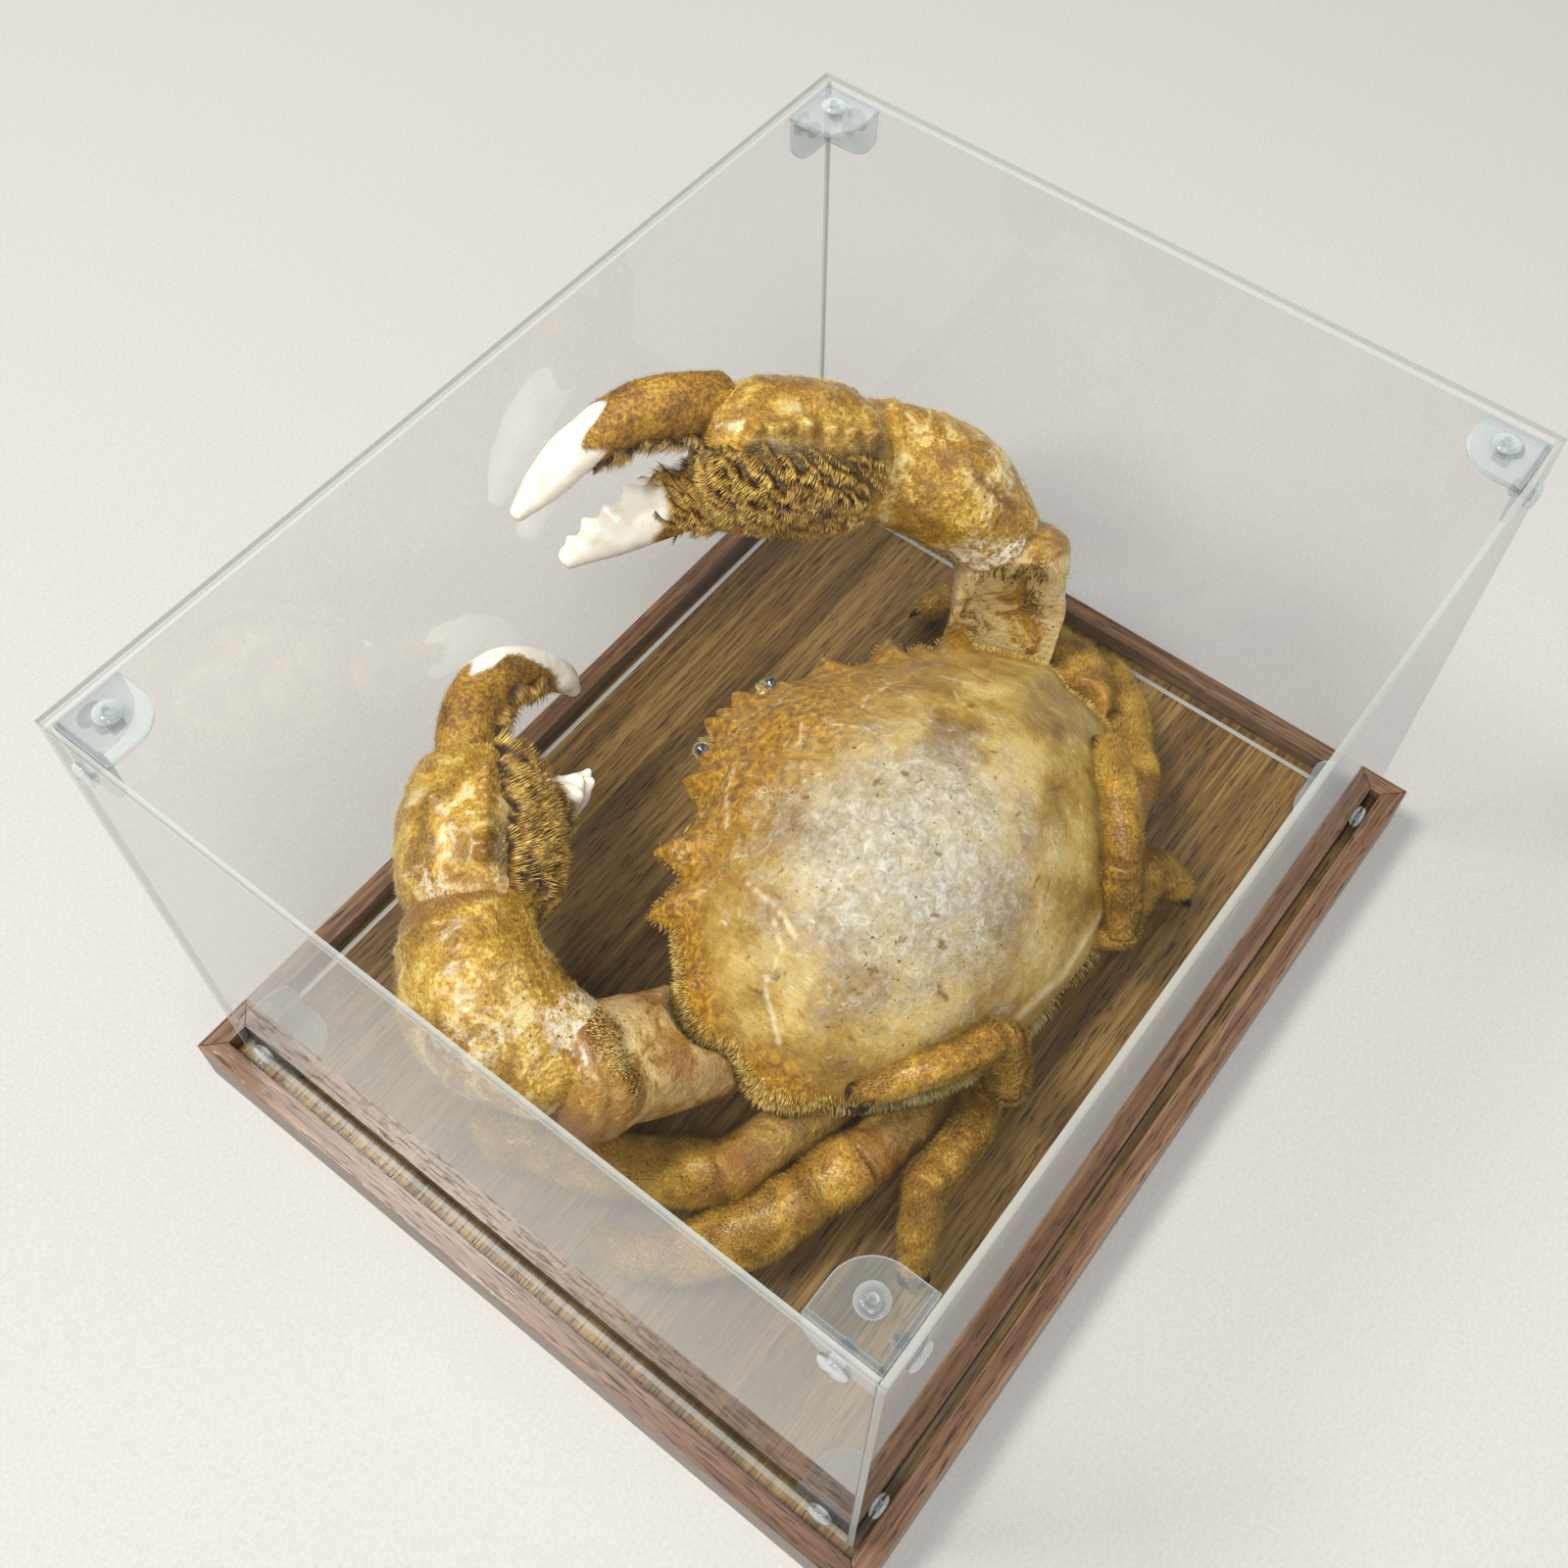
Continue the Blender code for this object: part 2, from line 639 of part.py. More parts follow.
def limb(names, joints, sizes, mats, bows, tip_blunt=1.0, sides=10, steps=5):
    """A row of segments that meet at planes through their joints.

    sizes holds, for each segment, the widths and the heights along it. The first segment is the
    stub that belongs to the thorax. What the first three segments need to stay clear is kept as
    rooms, to be cut out of the shell and the thorax.
    """
    last = len(joints) - 2
    for i in range(last + 1):
        start, end = joints[i], joints[i + 1]
        span = end - start
        widths, heights = sizes[i]
        before = start - span.normalized() * widths[0] * 0.35 * MM
        after = end + span.normalized() * widths[-1] * 0.35 * MM
        middle = start + span * 0.5 + Vector(bows[i]) * MM
        path = [start if i == 0 else before, middle, end if i == last else after]
        fine = (sides, steps) if i else (8, 3)
        bm = sweep(path, widths, heights, UP, *fine, blunt=(0.0, tip_blunt if i == last else 0.0))
        if i > 0:
            normal = joint_plane(joints[i - 1], start, end)
            slice_off(bm, start + normal * GAP / 2 * MM, -normal)
        if i < last:
            normal = joint_plane(start, end, joints[i + 2])
            slice_off(bm, end - normal * GAP / 2 * MM, normal)
        thing = add_object(names[i], bm, mats[i])
        if i == 0:
            STUBS.append(thing)
        if i < 3:
            longer = [path[0] - span.normalized() * MM] + path[1:]
            margin = ROOM if i else STUB_ROOM
            room = sweep(longer, wider(widths, margin, 1.1), wider(heights, margin, 1.1), UP, 8, 4)
            if i > 0:
                normal = joint_plane(joints[i - 1], start, end)
                slice_off(room, start - normal * (GAP / 2 - 0.05) * MM, -normal)
            rooms = LIMB_ROOMS if i else STUB_ROOMS
            rooms.append(add_object(names[i] + "_room", room, mats[i]))


UP = Vector((0, 0, 1))
STRAIGHT = (0, 0, 0)


def hook(thing, root, bend, tip, size=2.6):
    """A small curved claw, rooted in the end of a leg."""
    sizes = [size, size * 0.85, 0.7]
    bm = sweep([root, bend, tip], sizes, sizes, UP, sides=4, steps=3)
    combine(thing, [add_object("hook", bm, horn())])


def make_walking_legs():
    """The second and third legs of each side, velvety and stout, each ending in one black claw."""
    routes = {
        "leg2_left": ([at(14, 37, 15), at(27, 40, 15), at(79.0, 27.0, 21.5), at(89.0, 8.5, 15),
                       at(98.5, -15.9, 10), at(103.7, -32.5, 5.4)], (2.0, 0, 1.5), at(103, -38.3, 0.7), 1.1),
        "leg3_left": ([at(10, 47, 12.5), at(24, 54, 12.5), at(56, 51.5, 21.5), at(68, 46, 19.5),
                       at(99.5, 27.8, 9), at(106.4, 10.5, 5.2)], (2.5, 0, 1.5), at(105.6, 4.3, 0.7), 1.18),
        "leg2_right": ([at(-40, 31, 14), at(-52, 32, 14.5), at(-91.5, 21, 26), at(-100, 11, 22.5),
                        at(-107, -27, 12.5), at(-99.5, -38.5, 8.8)], (-1.5, 0, 1.0), at(-94.8, -42.3, 6), 1.0),
        "leg3_right": ([at(-33, 49, 13), at(-45, 53, 13), at(-76, 46, 20), at(-85, 39.5, 18),
                        at(-104, 27, 12), at(-115.5, 12.5, 6)], (-1.5, 0, 1.0), at(-116.5, 6.5, 0.7), 1.0),
    }
    stub = ([11.0, 11.0, 10.5], [11.0, 11.0, 10.5])
    merus = ([10.5, 14.5, 14.0], [10.5, 13.0, 13.0])
    carpus = ([13.0, 14.5, 12.5], [13.0, 14.0, 12.0])
    foot = ([10.5, 9.5, 7.0], [10.0, 9.0, 6.5])
    mats = [bare_shell(), bare_shell(), velvet(), velvet(), velvet()]
    for name, (joints, bow, tip, stout) in routes.items():
        propodus = ([12.5, 13.5 * stout, 11.0], [11.5, 12.5 * stout, 10.5])
        names = [name + "_" + piece for piece in ("stub", "merus", "carpus", "propodus", "dactylus")]
        bulge = (0, (stout - 1) * 12, 0)
        bows = [STRAIGHT, STRAIGHT, STRAIGHT, bulge, bow]
        limb(names, joints, [stub, merus, carpus, propodus, foot], mats, bows, tip_blunt=2.2)
        end = joints[-1]
        reach = (tip - end) * 0.6 + Vector((0, 0, 1.2 * MM))
        hook(bpy.data.objects[names[4]], end - reach * 0.5, end + reach, tip)


def make_small_legs():
    """The small fourth and fifth legs behind the shell, each ending in a little black nipper."""
    routes = {
        "leg4_left": ([at(6, 47, 9), at(22, 64, 14.5), at(52, 67, 22.5), at(66, 74.5, 9.5)],
                      STRAIGHT, (0, 2, 1), STRAIGHT, at(69.5, 77.5, 5)),
        "leg4_right": ([at(-24, 47, 9), at(-34, 62, 14), at(-58, 63.5, 20.5), at(-63, 72, 9.5)],
                       STRAIGHT, (0, 2, 0), STRAIGHT, at(-65.5, 75.5, 4)),
        "leg5_left": ([at(4, 46, 9), at(20, 70, 24.5), at(16.5, 63.5, 41), at(47, 45.5, 39)],
                      (0, 4, -4), STRAIGHT, (2.0, 0.5, 4.0), at(51.5, 42.5, 35)),
        "leg5_right": ([at(-22, 46, 9), at(-33.5, 69, 24), at(-41, 61.5, 41), at(-65.5, 40.5, 48)],
                       (0, 4, -4), STRAIGHT, (1.5, 1.0, 5.5), at(-70, 37, 45)),
    }
    stub = ([8.5, 8.5, 8.0], [8.5, 8.5, 8.0])
    thigh = ([8.0, 9.5, 9.0], [8.0, 9.0, 9.0])
    foot = ([9.0, 8.5, 6.0], [8.5, 8.0, 6.0])
    mats = [bare_shell(), velvet(), velvet()]
    for name, (joints, *bows, tip) in routes.items():
        names = [name + "_" + piece for piece in ("stub", "merus", "foot")]
        limb(names, joints, [stub, thigh, foot], mats, bows, tip_blunt=2.0)
        end = joints[-1]
        reach = tip - end
        side = reach.cross(UP).normalized() * 1.4 * MM
        for turn in (-1, 1):
            root = end - reach * 0.3 + side * turn * 0.7
            hook(bpy.data.objects[names[2]], root, end + reach * 0.6 + side * turn * 1.5, tip + side * turn * 0.5, 2.2)


def claw_arm(side, joints, merus, carpus, bows):
    """Stub, upper arm and wrist of a claw limb."""
    names = ["claw_%s_%s" % (side, piece) for piece in ("stub", "merus", "carpus", "rest")]
    stub = ([14.0, 15.0, 15.0], [14.0, 14.0, 14.0])
    limb(names, joints, [stub, merus, carpus, carpus], [bare_shell(), bare_shell(), velvet(), tufted()],
         [STRAIGHT] + bows + [STRAIGHT], sides=12, steps=6)
    bpy.data.objects.remove(bpy.data.objects[names[3]])


PALM_WIDTHS = [27, 37, 37, 30]
PALM_HEIGHTS = [25, 36, 40, 35]
FIXED_WIDTHS = [19, 16, 12, 6]
FIXED_HEIGHTS = [19, 15, 12, 6]
THUMB_WIDTHS = [14, 15, 13, 10, 4.5]
THUMB_HEIGHTS = [16, 17, 14, 10, 4.5]
LOCK_LENGTH = 12.0
LOCK_WIDTH = 7.0
LOCK_THICK = 2.0


def skin_place(path, widths, heights, t, degrees):
    """A point on a swept form, the direction straight out of it there, and the way along it."""
    along = (blend(path, min(t + 0.02, 1)) - blend(path, max(t - 0.02, 0))).normalized()
    side = along.cross(UP).normalized()
    rise = side.cross(along).normalized()
    c, s = math.cos(math.radians(degrees)), math.sin(math.radians(degrees))
    half_width, half_height = blend(widths, t) / 2, blend(heights, t) / 2
    point = blend(path, t) + (side * c * half_width + rise * s * half_height) * MM
    out = (side * c / half_width + rise * s / half_height).normalized()
    return point, out, along


def lock(root, out, lie, length, width):
    """A flat, tapered, bent lock of matted hair, rooted well inside and lying along the surface."""
    path = [root - out * 2.2 * MM, root + lie * length * 0.45 * MM + out * 1.1 * MM,
            root + lie * length * MM + out * 0.7 * MM]
    bm = sweep(path, [width * 0.8, width, width * 0.22], [LOCK_THICK, LOCK_THICK, 0.7], out, sides=4, steps=2)
    return add_object("lock", bm, tufted())


def coat(form, stops, turns, lie_down, size, seed):
    """Rows of overlapping locks over a stretch of a swept form, their tips towards the fingers."""
    chance = random.Random(seed)
    locks = []
    for i, t in enumerate(stops):
        for k, turn in enumerate(turns):
            jitter = chance.uniform(-0.5, 0.5)
            shift = 0.5 * (turns[1] - turns[0]) * (i % 2)
            point, out, along = skin_place(*form, t + jitter * 0.05, turn + shift + jitter * 6)
            lean = along + along.cross(out) * (lie_down + chance.uniform(-0.25, 0.25))
            lie = (lean - out * lean.dot(out)).normalized()
            scale = size * chance.uniform(0.85, 1.15)
            locks.append(lock(point, out, lie, LOCK_LENGTH * scale, LOCK_WIDTH * scale))
    return locks


def knobs(form, stops, degrees, size):
    """Blunt teeth along one line of a swept form."""
    made = []
    for t in stops:
        point, out, along = skin_place(*form, t, degrees)
        sizes = [size, size * 0.85, size * 0.35]
        path = [point - out * size * 0.5 * MM, point + out * size * 0.3 * MM, point + out * size * 0.7 * MM]
        made.append(add_object("knob", sweep(path, sizes, sizes, along, sides=5, steps=2), ivory()))
    return made


def make_palm(name, joints, bow, finger, thumb_room, hair, teeth_turn):
    """The palm with its fixed finger, its blunt teeth and the matted locks of its inner face."""
    before, wrist, knuckle = joints
    span = knuckle - wrist
    rise = Vector(bow) * MM
    path = [wrist - span * 0.1, wrist + span * 0.33 + rise, wrist + span * 0.72 + rise, knuckle + span * 0.06]
    bm = sweep(path, PALM_WIDTHS, PALM_HEIGHTS, UP, sides=14, steps=7, blunt=(0.0, 4.0))
    normal = joint_plane(before, wrist, knuckle)
    slice_off(bm, wrist + normal * GAP / 2 * MM, -normal)
    palm = add_object(name, bm, tufted())
    bm = sweep(finger, FIXED_WIDTHS, FIXED_HEIGHTS, UP, sides=10, steps=6, blunt=(0.0, 2.0))
    grown = [add_object(name + "_finger", bm, ivory())]
    grown += knobs((finger, FIXED_WIDTHS, FIXED_HEIGHTS), (0.6, 0.74, 0.88), teeth_turn, 4.5)
    stops, turns, lie_down, seed = hair
    grown += coat((path, PALM_WIDTHS, PALM_HEIGHTS), stops, turns, lie_down, 1.0, seed)
    combine(palm, grown)
    combine(palm, [thumb_room], "DIFFERENCE")


def make_thumb(name, path, hair):
    """The movable finger with the locks of its inner margin, and the room that its root needs."""
    bm = sweep(path, THUMB_WIDTHS, THUMB_HEIGHTS, UP, sides=12, steps=9, blunt=(2.0, 2.0))
    thumb = add_object(name, bm, ivory())
    stops, turns, lie_down, seed = hair
    combine(thumb, coat((path, THUMB_WIDTHS, THUMB_HEIGHTS), stops, turns, lie_down, 0.62, seed))
    widths, heights = wider(THUMB_WIDTHS, THUMB_ROOM), wider(THUMB_HEIGHTS, THUMB_ROOM)
    room = sweep(path, widths, heights, UP, sides=12, steps=9, blunt=(2.6, 2.0))
    return add_object(name + "_room", room, ivory())


def make_claws():
    """The two great claws, carried high in front."""
    joints = [at(-36, 10, 15), at(-52, 9, 17), at(-93, -11, 62), at(-75.6, -47.1, 90), at(-45, -72, 101.5)]
    claw_arm("right", joints, ([15, 28.5, 28], [14, 24, 23]), ([22, 34, 30], [22, 33, 28]),
             [(-4, 1.5, -3), (-3.5, -1, 4.5)])
    moving = [at(-50, -76.5, 113.5), at(-40, -79.8, 118), at(-29, -85.8, 120.3), at(-14, -90.6, 118),
              at(-3, -93, 112.5), at(3.9, -94.8, 108.3)]
    finger = [at(-50, -63, 95), at(-36, -73.5, 92.5), at(-20, -84.5, 87), at(-6.5, -91.5, 83.5)]
    room = make_thumb("claw_right_dactylus", moving, ((0.22, 0.34, 0.46), (215, 262), -0.9, 11))
    make_palm("claw_right_palm", joints[2:], (0, 2.5, 3.0), finger, room,
              ((0.32, 0.52, 0.72, 0.92), (160, 182, 204, 226, 250), -0.45, 12), 60)

    joints = [at(15, 13, 14), at(34, 11.5, 17), at(87, -7.5, 50), at(81, -47, 64), at(52, -72, 64)]
    claw_arm("left", joints, ([15, 28, 33], [14, 26, 28]), ([27, 38, 30], [24, 34, 28]),
             [(-0.5, 3.0, 2), (8, -3, 2.5)])
    moving = [at(47, -81, 65.5), at(37.5, -87, 67.5), at(25, -90.5, 66), at(14.5, -90, 58), at(6.5, -88, 48),
              at(3.8, -87, 40.5)]
    finger = [at(55, -66, 55), at(43, -65, 47.5), at(31, -65.5, 40), at(22, -67.5, 34.5)]
    room = make_thumb("claw_left_dactylus", moving, ((0.22, 0.34, 0.46), (-62, -12), 0.9, 13))
    make_palm("claw_left_palm", joints[2:], STRAIGHT, finger, room,
              ((0.32, 0.52, 0.72, 0.92), (-66, -44, -22, 0, 22), 0.45, 14), 60)


def main():
    clear_scene()
    make_tray()
    make_case()
    make_fittings()
    make_walking_legs()
    make_small_legs()
    make_claws()
    make_carapace()
    make_eyes()
    make_thorax()
    make_abdomen()
    make_mouthparts()
    make_antennae()


main()
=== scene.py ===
"""Looks of a sponge crab mounted in a clear case on a wooden tray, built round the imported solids.

The crab faces -Y with its right side towards -X. Sizes are millimetres from the middle of the
board, with heights from the board's top; the scene itself is in metres.
"""
import itertools
import math

import bmesh
import bpy
import numpy as np
from mathutils import Matrix, Vector

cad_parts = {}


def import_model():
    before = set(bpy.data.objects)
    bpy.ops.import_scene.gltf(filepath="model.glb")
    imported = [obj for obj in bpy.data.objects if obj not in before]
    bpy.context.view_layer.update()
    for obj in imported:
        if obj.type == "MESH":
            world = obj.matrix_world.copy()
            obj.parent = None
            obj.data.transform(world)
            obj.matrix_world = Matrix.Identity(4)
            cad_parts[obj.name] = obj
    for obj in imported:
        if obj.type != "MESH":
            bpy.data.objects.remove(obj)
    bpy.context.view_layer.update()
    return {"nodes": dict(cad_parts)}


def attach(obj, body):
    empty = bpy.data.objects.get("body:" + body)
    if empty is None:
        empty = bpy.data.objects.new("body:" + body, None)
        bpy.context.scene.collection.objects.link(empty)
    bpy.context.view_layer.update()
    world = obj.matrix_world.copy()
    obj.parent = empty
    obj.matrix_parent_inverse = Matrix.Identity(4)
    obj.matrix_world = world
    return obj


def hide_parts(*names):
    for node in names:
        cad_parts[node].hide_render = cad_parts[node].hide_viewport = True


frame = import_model()

# The board that the case stands on: chipboard faced with walnut veneer, sliced along the log and
# sealed satin. Its pores show as short dark dashes along the grain, between paler and darker bands.
MM = 0.001


def linear(hex_colour):
    """An sRGB hex colour as linear red, green, blue and a full alpha."""
    channels = [int(hex_colour[i:i + 2], 16) / 255 for i in (0, 2, 4)]
    return [c / 12.92 if c <= 0.04045 else ((c + 0.055) / 1.055) ** 2.4 for c in channels] + [1.0]


def feed(node, sockets):
    """Set a node's inputs, by name or place, to plain values or to the outputs of other nodes."""
    for name, value in sockets.items():
        socket = node.inputs[name.replace("_", " ") if isinstance(name, str) else name]
        if isinstance(value, bpy.types.NodeSocket):
            node.id_data.links.new(value, socket)
        elif value is not None:
            socket.default_value = value


def add(mat, kind, *inputs, out=0, stops=(), **named):
    """Add a node and give its output to use.

    Inputs are given in order, or by name with a capital; other names are the node's settings.
    """
    made = mat.node_tree.nodes.new("ShaderNode" + kind)
    for name in [name for name in named if name[0].islower()]:
        setattr(made, name, named.pop(name))
    for i, (place, hex_colour) in enumerate(stops):
        stop = made.color_ramp.elements[i] if i < 2 else made.color_ramp.elements.new(place)
        stop.position = place
        stop.color = linear(hex_colour)
    feed(made, dict(enumerate(inputs)) | named)
    return made.outputs[out]


def new_material(name, **sockets):
    """A Principled material with plain values on the shader's own sockets."""
    mat = bpy.data.materials.new(name)
    mat.use_nodes = True
    shader = mat.node_tree.nodes["Principled BSDF"]
    feed(shader, sockets)
    return mat, shader


def layered(mat, colour, *coats, **settings):
    """Colours laid over one another, each with its share of the surface."""
    for share, coat in coats:
        colour = add(mat, "Mix", share, *[None] * 5, colour, coat, data_type="RGBA", out=2, **settings)
    return colour


def embossed(mat, *layers):
    """Relief from height maps, coarse to fine: depth in millimetres, below 0 to sink in, and strength."""
    normal = None
    for height, depth, strength in layers:
        normal = add(mat, "Bump", Height=height, Distance=abs(depth) * MM, Strength=strength, Normal=normal,
                     invert=depth < 0)
    return normal


def sawn_wood(name, along, dark, middle, pale, roughness):
    """Wood cut along its grain, with the grain along one axis: bands, fine streaks and dashed pores."""
    mat, shader = new_material(name, Roughness=roughness, IOR=1.5)
    place = add(mat, "TexCoord", out="Object")
    slow = [1.0, 1.0, 1.0]
    slow[along] = 0.03
    fast = [1.0, 1.0, 1.0]
    fast[along] = 0.06
    stretched = add(mat, "Mapping", place, Scale=slow)
    dashed = add(mat, "Mapping", place, Scale=fast)
    bands = add(mat, "TexNoise", stretched, Scale=60, Detail=3, Roughness=0.5, Distortion=0.3)
    streaks = add(mat, "TexNoise", stretched, Scale=760, Detail=5, Roughness=0.62)
    pores = add(mat, "TexNoise", dashed, Scale=2100, Detail=1.0, Roughness=0.4)
    both = add(mat, "Mix", 0.6, None, bands, streaks)
    tone = add(mat, "ValToRGB", both, stops=[(0.4, dark), (0.5, middle), (0.6, pale)])
    holes = add(mat, "ValToRGB", pores, stops=[(0.33, "2c1c0c"), (0.42, "ffffff")])
    mixed = layered(mat, tone, (0.75, holes), blend_type="MULTIPLY")
    feed(shader, {"Base Color": mixed, "Normal": embossed(mat, (holes, 0.2, 0.35))})
    return mat


def dress(names, mat, bevel=0.0):
    """Give CAD nodes a finish, and ease their edges as the real ones are."""
    for name in names:
        thing = frame["nodes"][name]
        thing.data.materials.clear()
        thing.data.materials.append(mat)
        if bevel:
            ease = thing.modifiers.new("eased_edges", "BEVEL")
            ease.width = bevel * MM
            ease.segments = 2
            ease.limit_method = "ANGLE"
            ease.harden_normals = True


dress(["tray_board"], sawn_wood("walnut_veneer", 0, "473313", "62481f", "7c6234", 0.36))

# The four rails round the board: a stained hardwood moulding with mitred corners, glued up and
# wiped with satin varnish, so that it looks redder and smoother than the board.
RAIL_TONES = ("4a3121", "624733", "7d6249")
dress(["tray_rail_front", "tray_rail_rear"], sawn_wood("varnished_rail_long", 0, *RAIL_TONES, 0.3), 0.5)
dress(["tray_rail_left", "tray_rail_right"], sawn_wood("varnished_rail_short", 1, *RAIL_TONES, 0.3), 0.5)

# The case: four walls and a lid of laser-cut clear acrylic, 1.5 mm thick. The faces are clear and
# mirror what is beside them at a glancing angle, and the cut edges gather light and look whitish.
ACRYLIC_IOR = 1.49


def cut_acrylic(name, thin):
    """Clear acrylic sheet whose cut edges are those that don't face the thin direction."""
    mat, shader = new_material(name, Roughness=0.3, IOR=ACRYLIC_IOR, Base_Color=linear("aeb2ad"))
    edge = add(mat, "MixShader", 0.66, add(mat, "BsdfTransparent"), shader.outputs[0])
    outside = add(mat, "Math", 1.0, add(mat, "NewGeometry", out="Backfacing"), operation="SUBTRACT")
    shine = add(mat, "Fresnel", IOR=ACRYLIC_IOR)
    share = add(mat, "Math", shine, outside, operation="MULTIPLY")
    both_faces = add(mat, "Math", share, 1.3, operation="MULTIPLY", use_clamp=True)
    clear = add(mat, "BsdfTransparent", Color=linear("fefefe"))
    gloss = add(mat, "BsdfGlossy", Roughness=0.03)
    face = add(mat, "MixShader", both_faces, clear, gloss)
    part = add(mat, "SeparateXYZ", add(mat, "NewGeometry", out="True Normal"), out=thin)
    towards = add(mat, "Math", part, operation="ABSOLUTE")
    is_edge = add(mat, "Math", towards, 0.6, operation="LESS_THAN")
    sheet = add(mat, "MixShader", is_edge, face, edge)
    feed(mat.node_tree.nodes["Material Output"], {"Surface": sheet})
    return mat


dress(["case_wall_left", "case_wall_right"], cut_acrylic("cut_acrylic_end_wall", 0))
dress(["case_wall_front", "case_wall_rear"], cut_acrylic("cut_acrylic_long_wall", 1))
dress(["case_lid"], cut_acrylic("cut_acrylic_lid", 2))

# The corner fittings: injection-moulded clear polycarbonate, three round-cornered leaves held by
# push rivets. The thick round shapes bend the light, so that they look bright-edged and milky.
CASE_X = 248.5
CASE_Y = 200.0
CASE_HEIGHT = 155.3
SHEET = 1.5
GAP = 0.3
LEAF_REACH = 16.0
LEAF_THICK = 1.3
RIVET_INSET = 8.2
RIVET_SIDES = 28
RIVET_PROFILE = ((0.0, -0.35), (0.7, -0.5), (1.0, -1.15), (1.7, -1.1), (2.5, -0.85), (3.05, -0.4), (3.15, 0.0),
                 (1.65, 0.0), (1.25, 0.01), (1.25, 3.1), (1.9, 3.4), (1.9, 4.6), (1.3, 5.2), (0.6, 5.3),
                 (0.45, 4.2), (0.0, 4.2))
BOARD_TOP = 12.5


def world(points):
    """Millimetres from the board's middle to metres in the scene."""
    return (np.asarray(points, float) + (0, 0, BOARD_TOP)) * MM


def mesh_object(name, points, faces, mat, turn_out=True):
    """A smooth mesh object from points in metres, its faces turned out."""
    mesh = bpy.data.meshes.new(name)
    mesh.from_pydata(np.asarray(points).reshape(-1, 3).tolist(), [], faces)
    if turn_out:
        work = bmesh.new()
        work.from_mesh(mesh)
        bmesh.ops.recalc_face_normals(work, faces=work.faces)
        work.to_mesh(mesh)
        work.free()
    mesh.shade_smooth()
    mesh.materials.append(mat)
    piece = bpy.data.objects.new(name, mesh)
    bpy.context.scene.collection.objects.link(piece)
    return piece


def grid_faces(rows, sides):
    """Quads between the rows and a face on each end."""
    index = np.arange(rows * sides).reshape(rows, sides)
    a, b = index[:-1], index[1:]
    quads = np.stack([a, np.roll(a, -1, 1), np.roll(b, -1, 1), b], -1).reshape(-1, 4).tolist()
    return quads + [index[0].tolist(), index[-1][::-1].tolist()]


def piece_from(name, forms, mat, node=None):
    """One piece from closed grids of points, in place of its CAD node."""
    points, faces = [], []
    for form in forms:
        shift = sum(len(p) for p in points)
        faces += [[i + shift for i in face] for face in grid_faces(*form.shape[:2])]
        points.append(form.reshape(-1, 3))
    piece = mesh_object(name, np.concatenate(points), faces, mat)
    if node:
        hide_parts(node)
    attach(piece, "root")
    return piece


def moulded_clear():
    """Clear moulding: mostly seen through, with a glossy skin and a faint milky body."""
    mat, shader = new_material("moulded_clear_polycarbonate", Roughness=0.08, IOR=1.58,
                               Coat_Weight=1.0, Coat_Roughness=0.03, Base_Color=linear("dce2e4"))
    edge = add(mat, "LayerWeight", 0.45, out="Facing")
    body = add(mat, "Math", edge, 0.6, 0.06, operation="MULTIPLY_ADD", use_clamp=True)
    clear = add(mat, "BsdfTransparent", Color=linear("f2f5f5"))
    mixed = add(mat, "MixShader", body, clear, shader.outputs[0])
    feed(mat.node_tree.nodes["Material Output"], {"Surface": mixed})
    return mat


def leaf_plate(corner, one, other, inward):
    """Rows of points of one leaf: two straight sides, a rounded free corner, eased edges."""
    square = LEAF_REACH * 0.45
    outline = [Vector((0, 0, 0)), one * LEAF_REACH]
    for k in range(13):
        angle = math.pi / 2 * k / 12
        reach = LEAF_REACH - square
        outline.append(one * (square + reach * math.cos(angle)) + other * (square + reach * math.sin(angle)))
    outline.append(other * LEAF_REACH)
    middle = (one + other) * square
    return [[corner + p + (middle - p).normalized() * inset + inward * depth for p in outline]
            for depth, inset in ((0.0, 0.3), (0.25, 0.0), (LEAF_THICK - 0.25, 0.0), (LEAF_THICK, 0.3))]


def push_rivet(centre, inward):
    """A lathed rivet: dished domed head outside the sheet, pin through it, spread tail inside."""
    across = inward.orthogonal().normalized()
    other = inward.cross(across)
    head = -GAP - SHEET - GAP
    rows = []
    for radius, depth in RIVET_PROFILE:
        rows.append([])
        for k in range(RIVET_SIDES):
            angle = 2 * math.pi * k / RIVET_SIDES
            lobed = radius * (1 + 0.12 * math.cos(4 * angle)) if depth > 3 else radius
            turn = across * math.cos(angle) + other * math.sin(angle)
            rows[-1].append(centre + turn * max(lobed, 0.02) + inward * (head + depth))
    return rows


def corner_fitting(level, front, side, clear):
    """One fitting, in place of its CAD node."""
    up = 1 if level == "top" else -1
    sx, sy = (1 if side == "left" else -1), (1 if front == "rear" else -1)
    height = CASE_HEIGHT - SHEET - GAP if up > 0 else GAP
    corner = Vector((sx * (CASE_X / 2 - SHEET - GAP), sy * (CASE_Y / 2 - SHEET - GAP), height))
    inward = [Vector((-sx, 0, 0)), Vector((0, -sy, 0)), Vector((0, 0, -up))]
    forms = []
    for k in range(3):
        one, other = inward[(k + 1) % 3], inward[(k + 2) % 3]
        forms.append(leaf_plate(corner, one, other, inward[k]))
        if up > 0 or k < 2:
            forms.append(push_rivet(corner + (one + other) * (RIVET_INSET - GAP), inward[k]))
    name = "fitting_%s_%s_%s" % (level, front, side)
    piece = piece_from(name + "_moulding", [world(form) for form in forms], clear, name)
    piece.data.set_sharp_from_angle(angle=math.radians(35))


clear_moulding = moulded_clear()
for level, front, side in itertools.product(("top", "bottom"), ("front", "rear"), ("left", "right")):
    corner_fitting(level, front, side, clear_moulding)

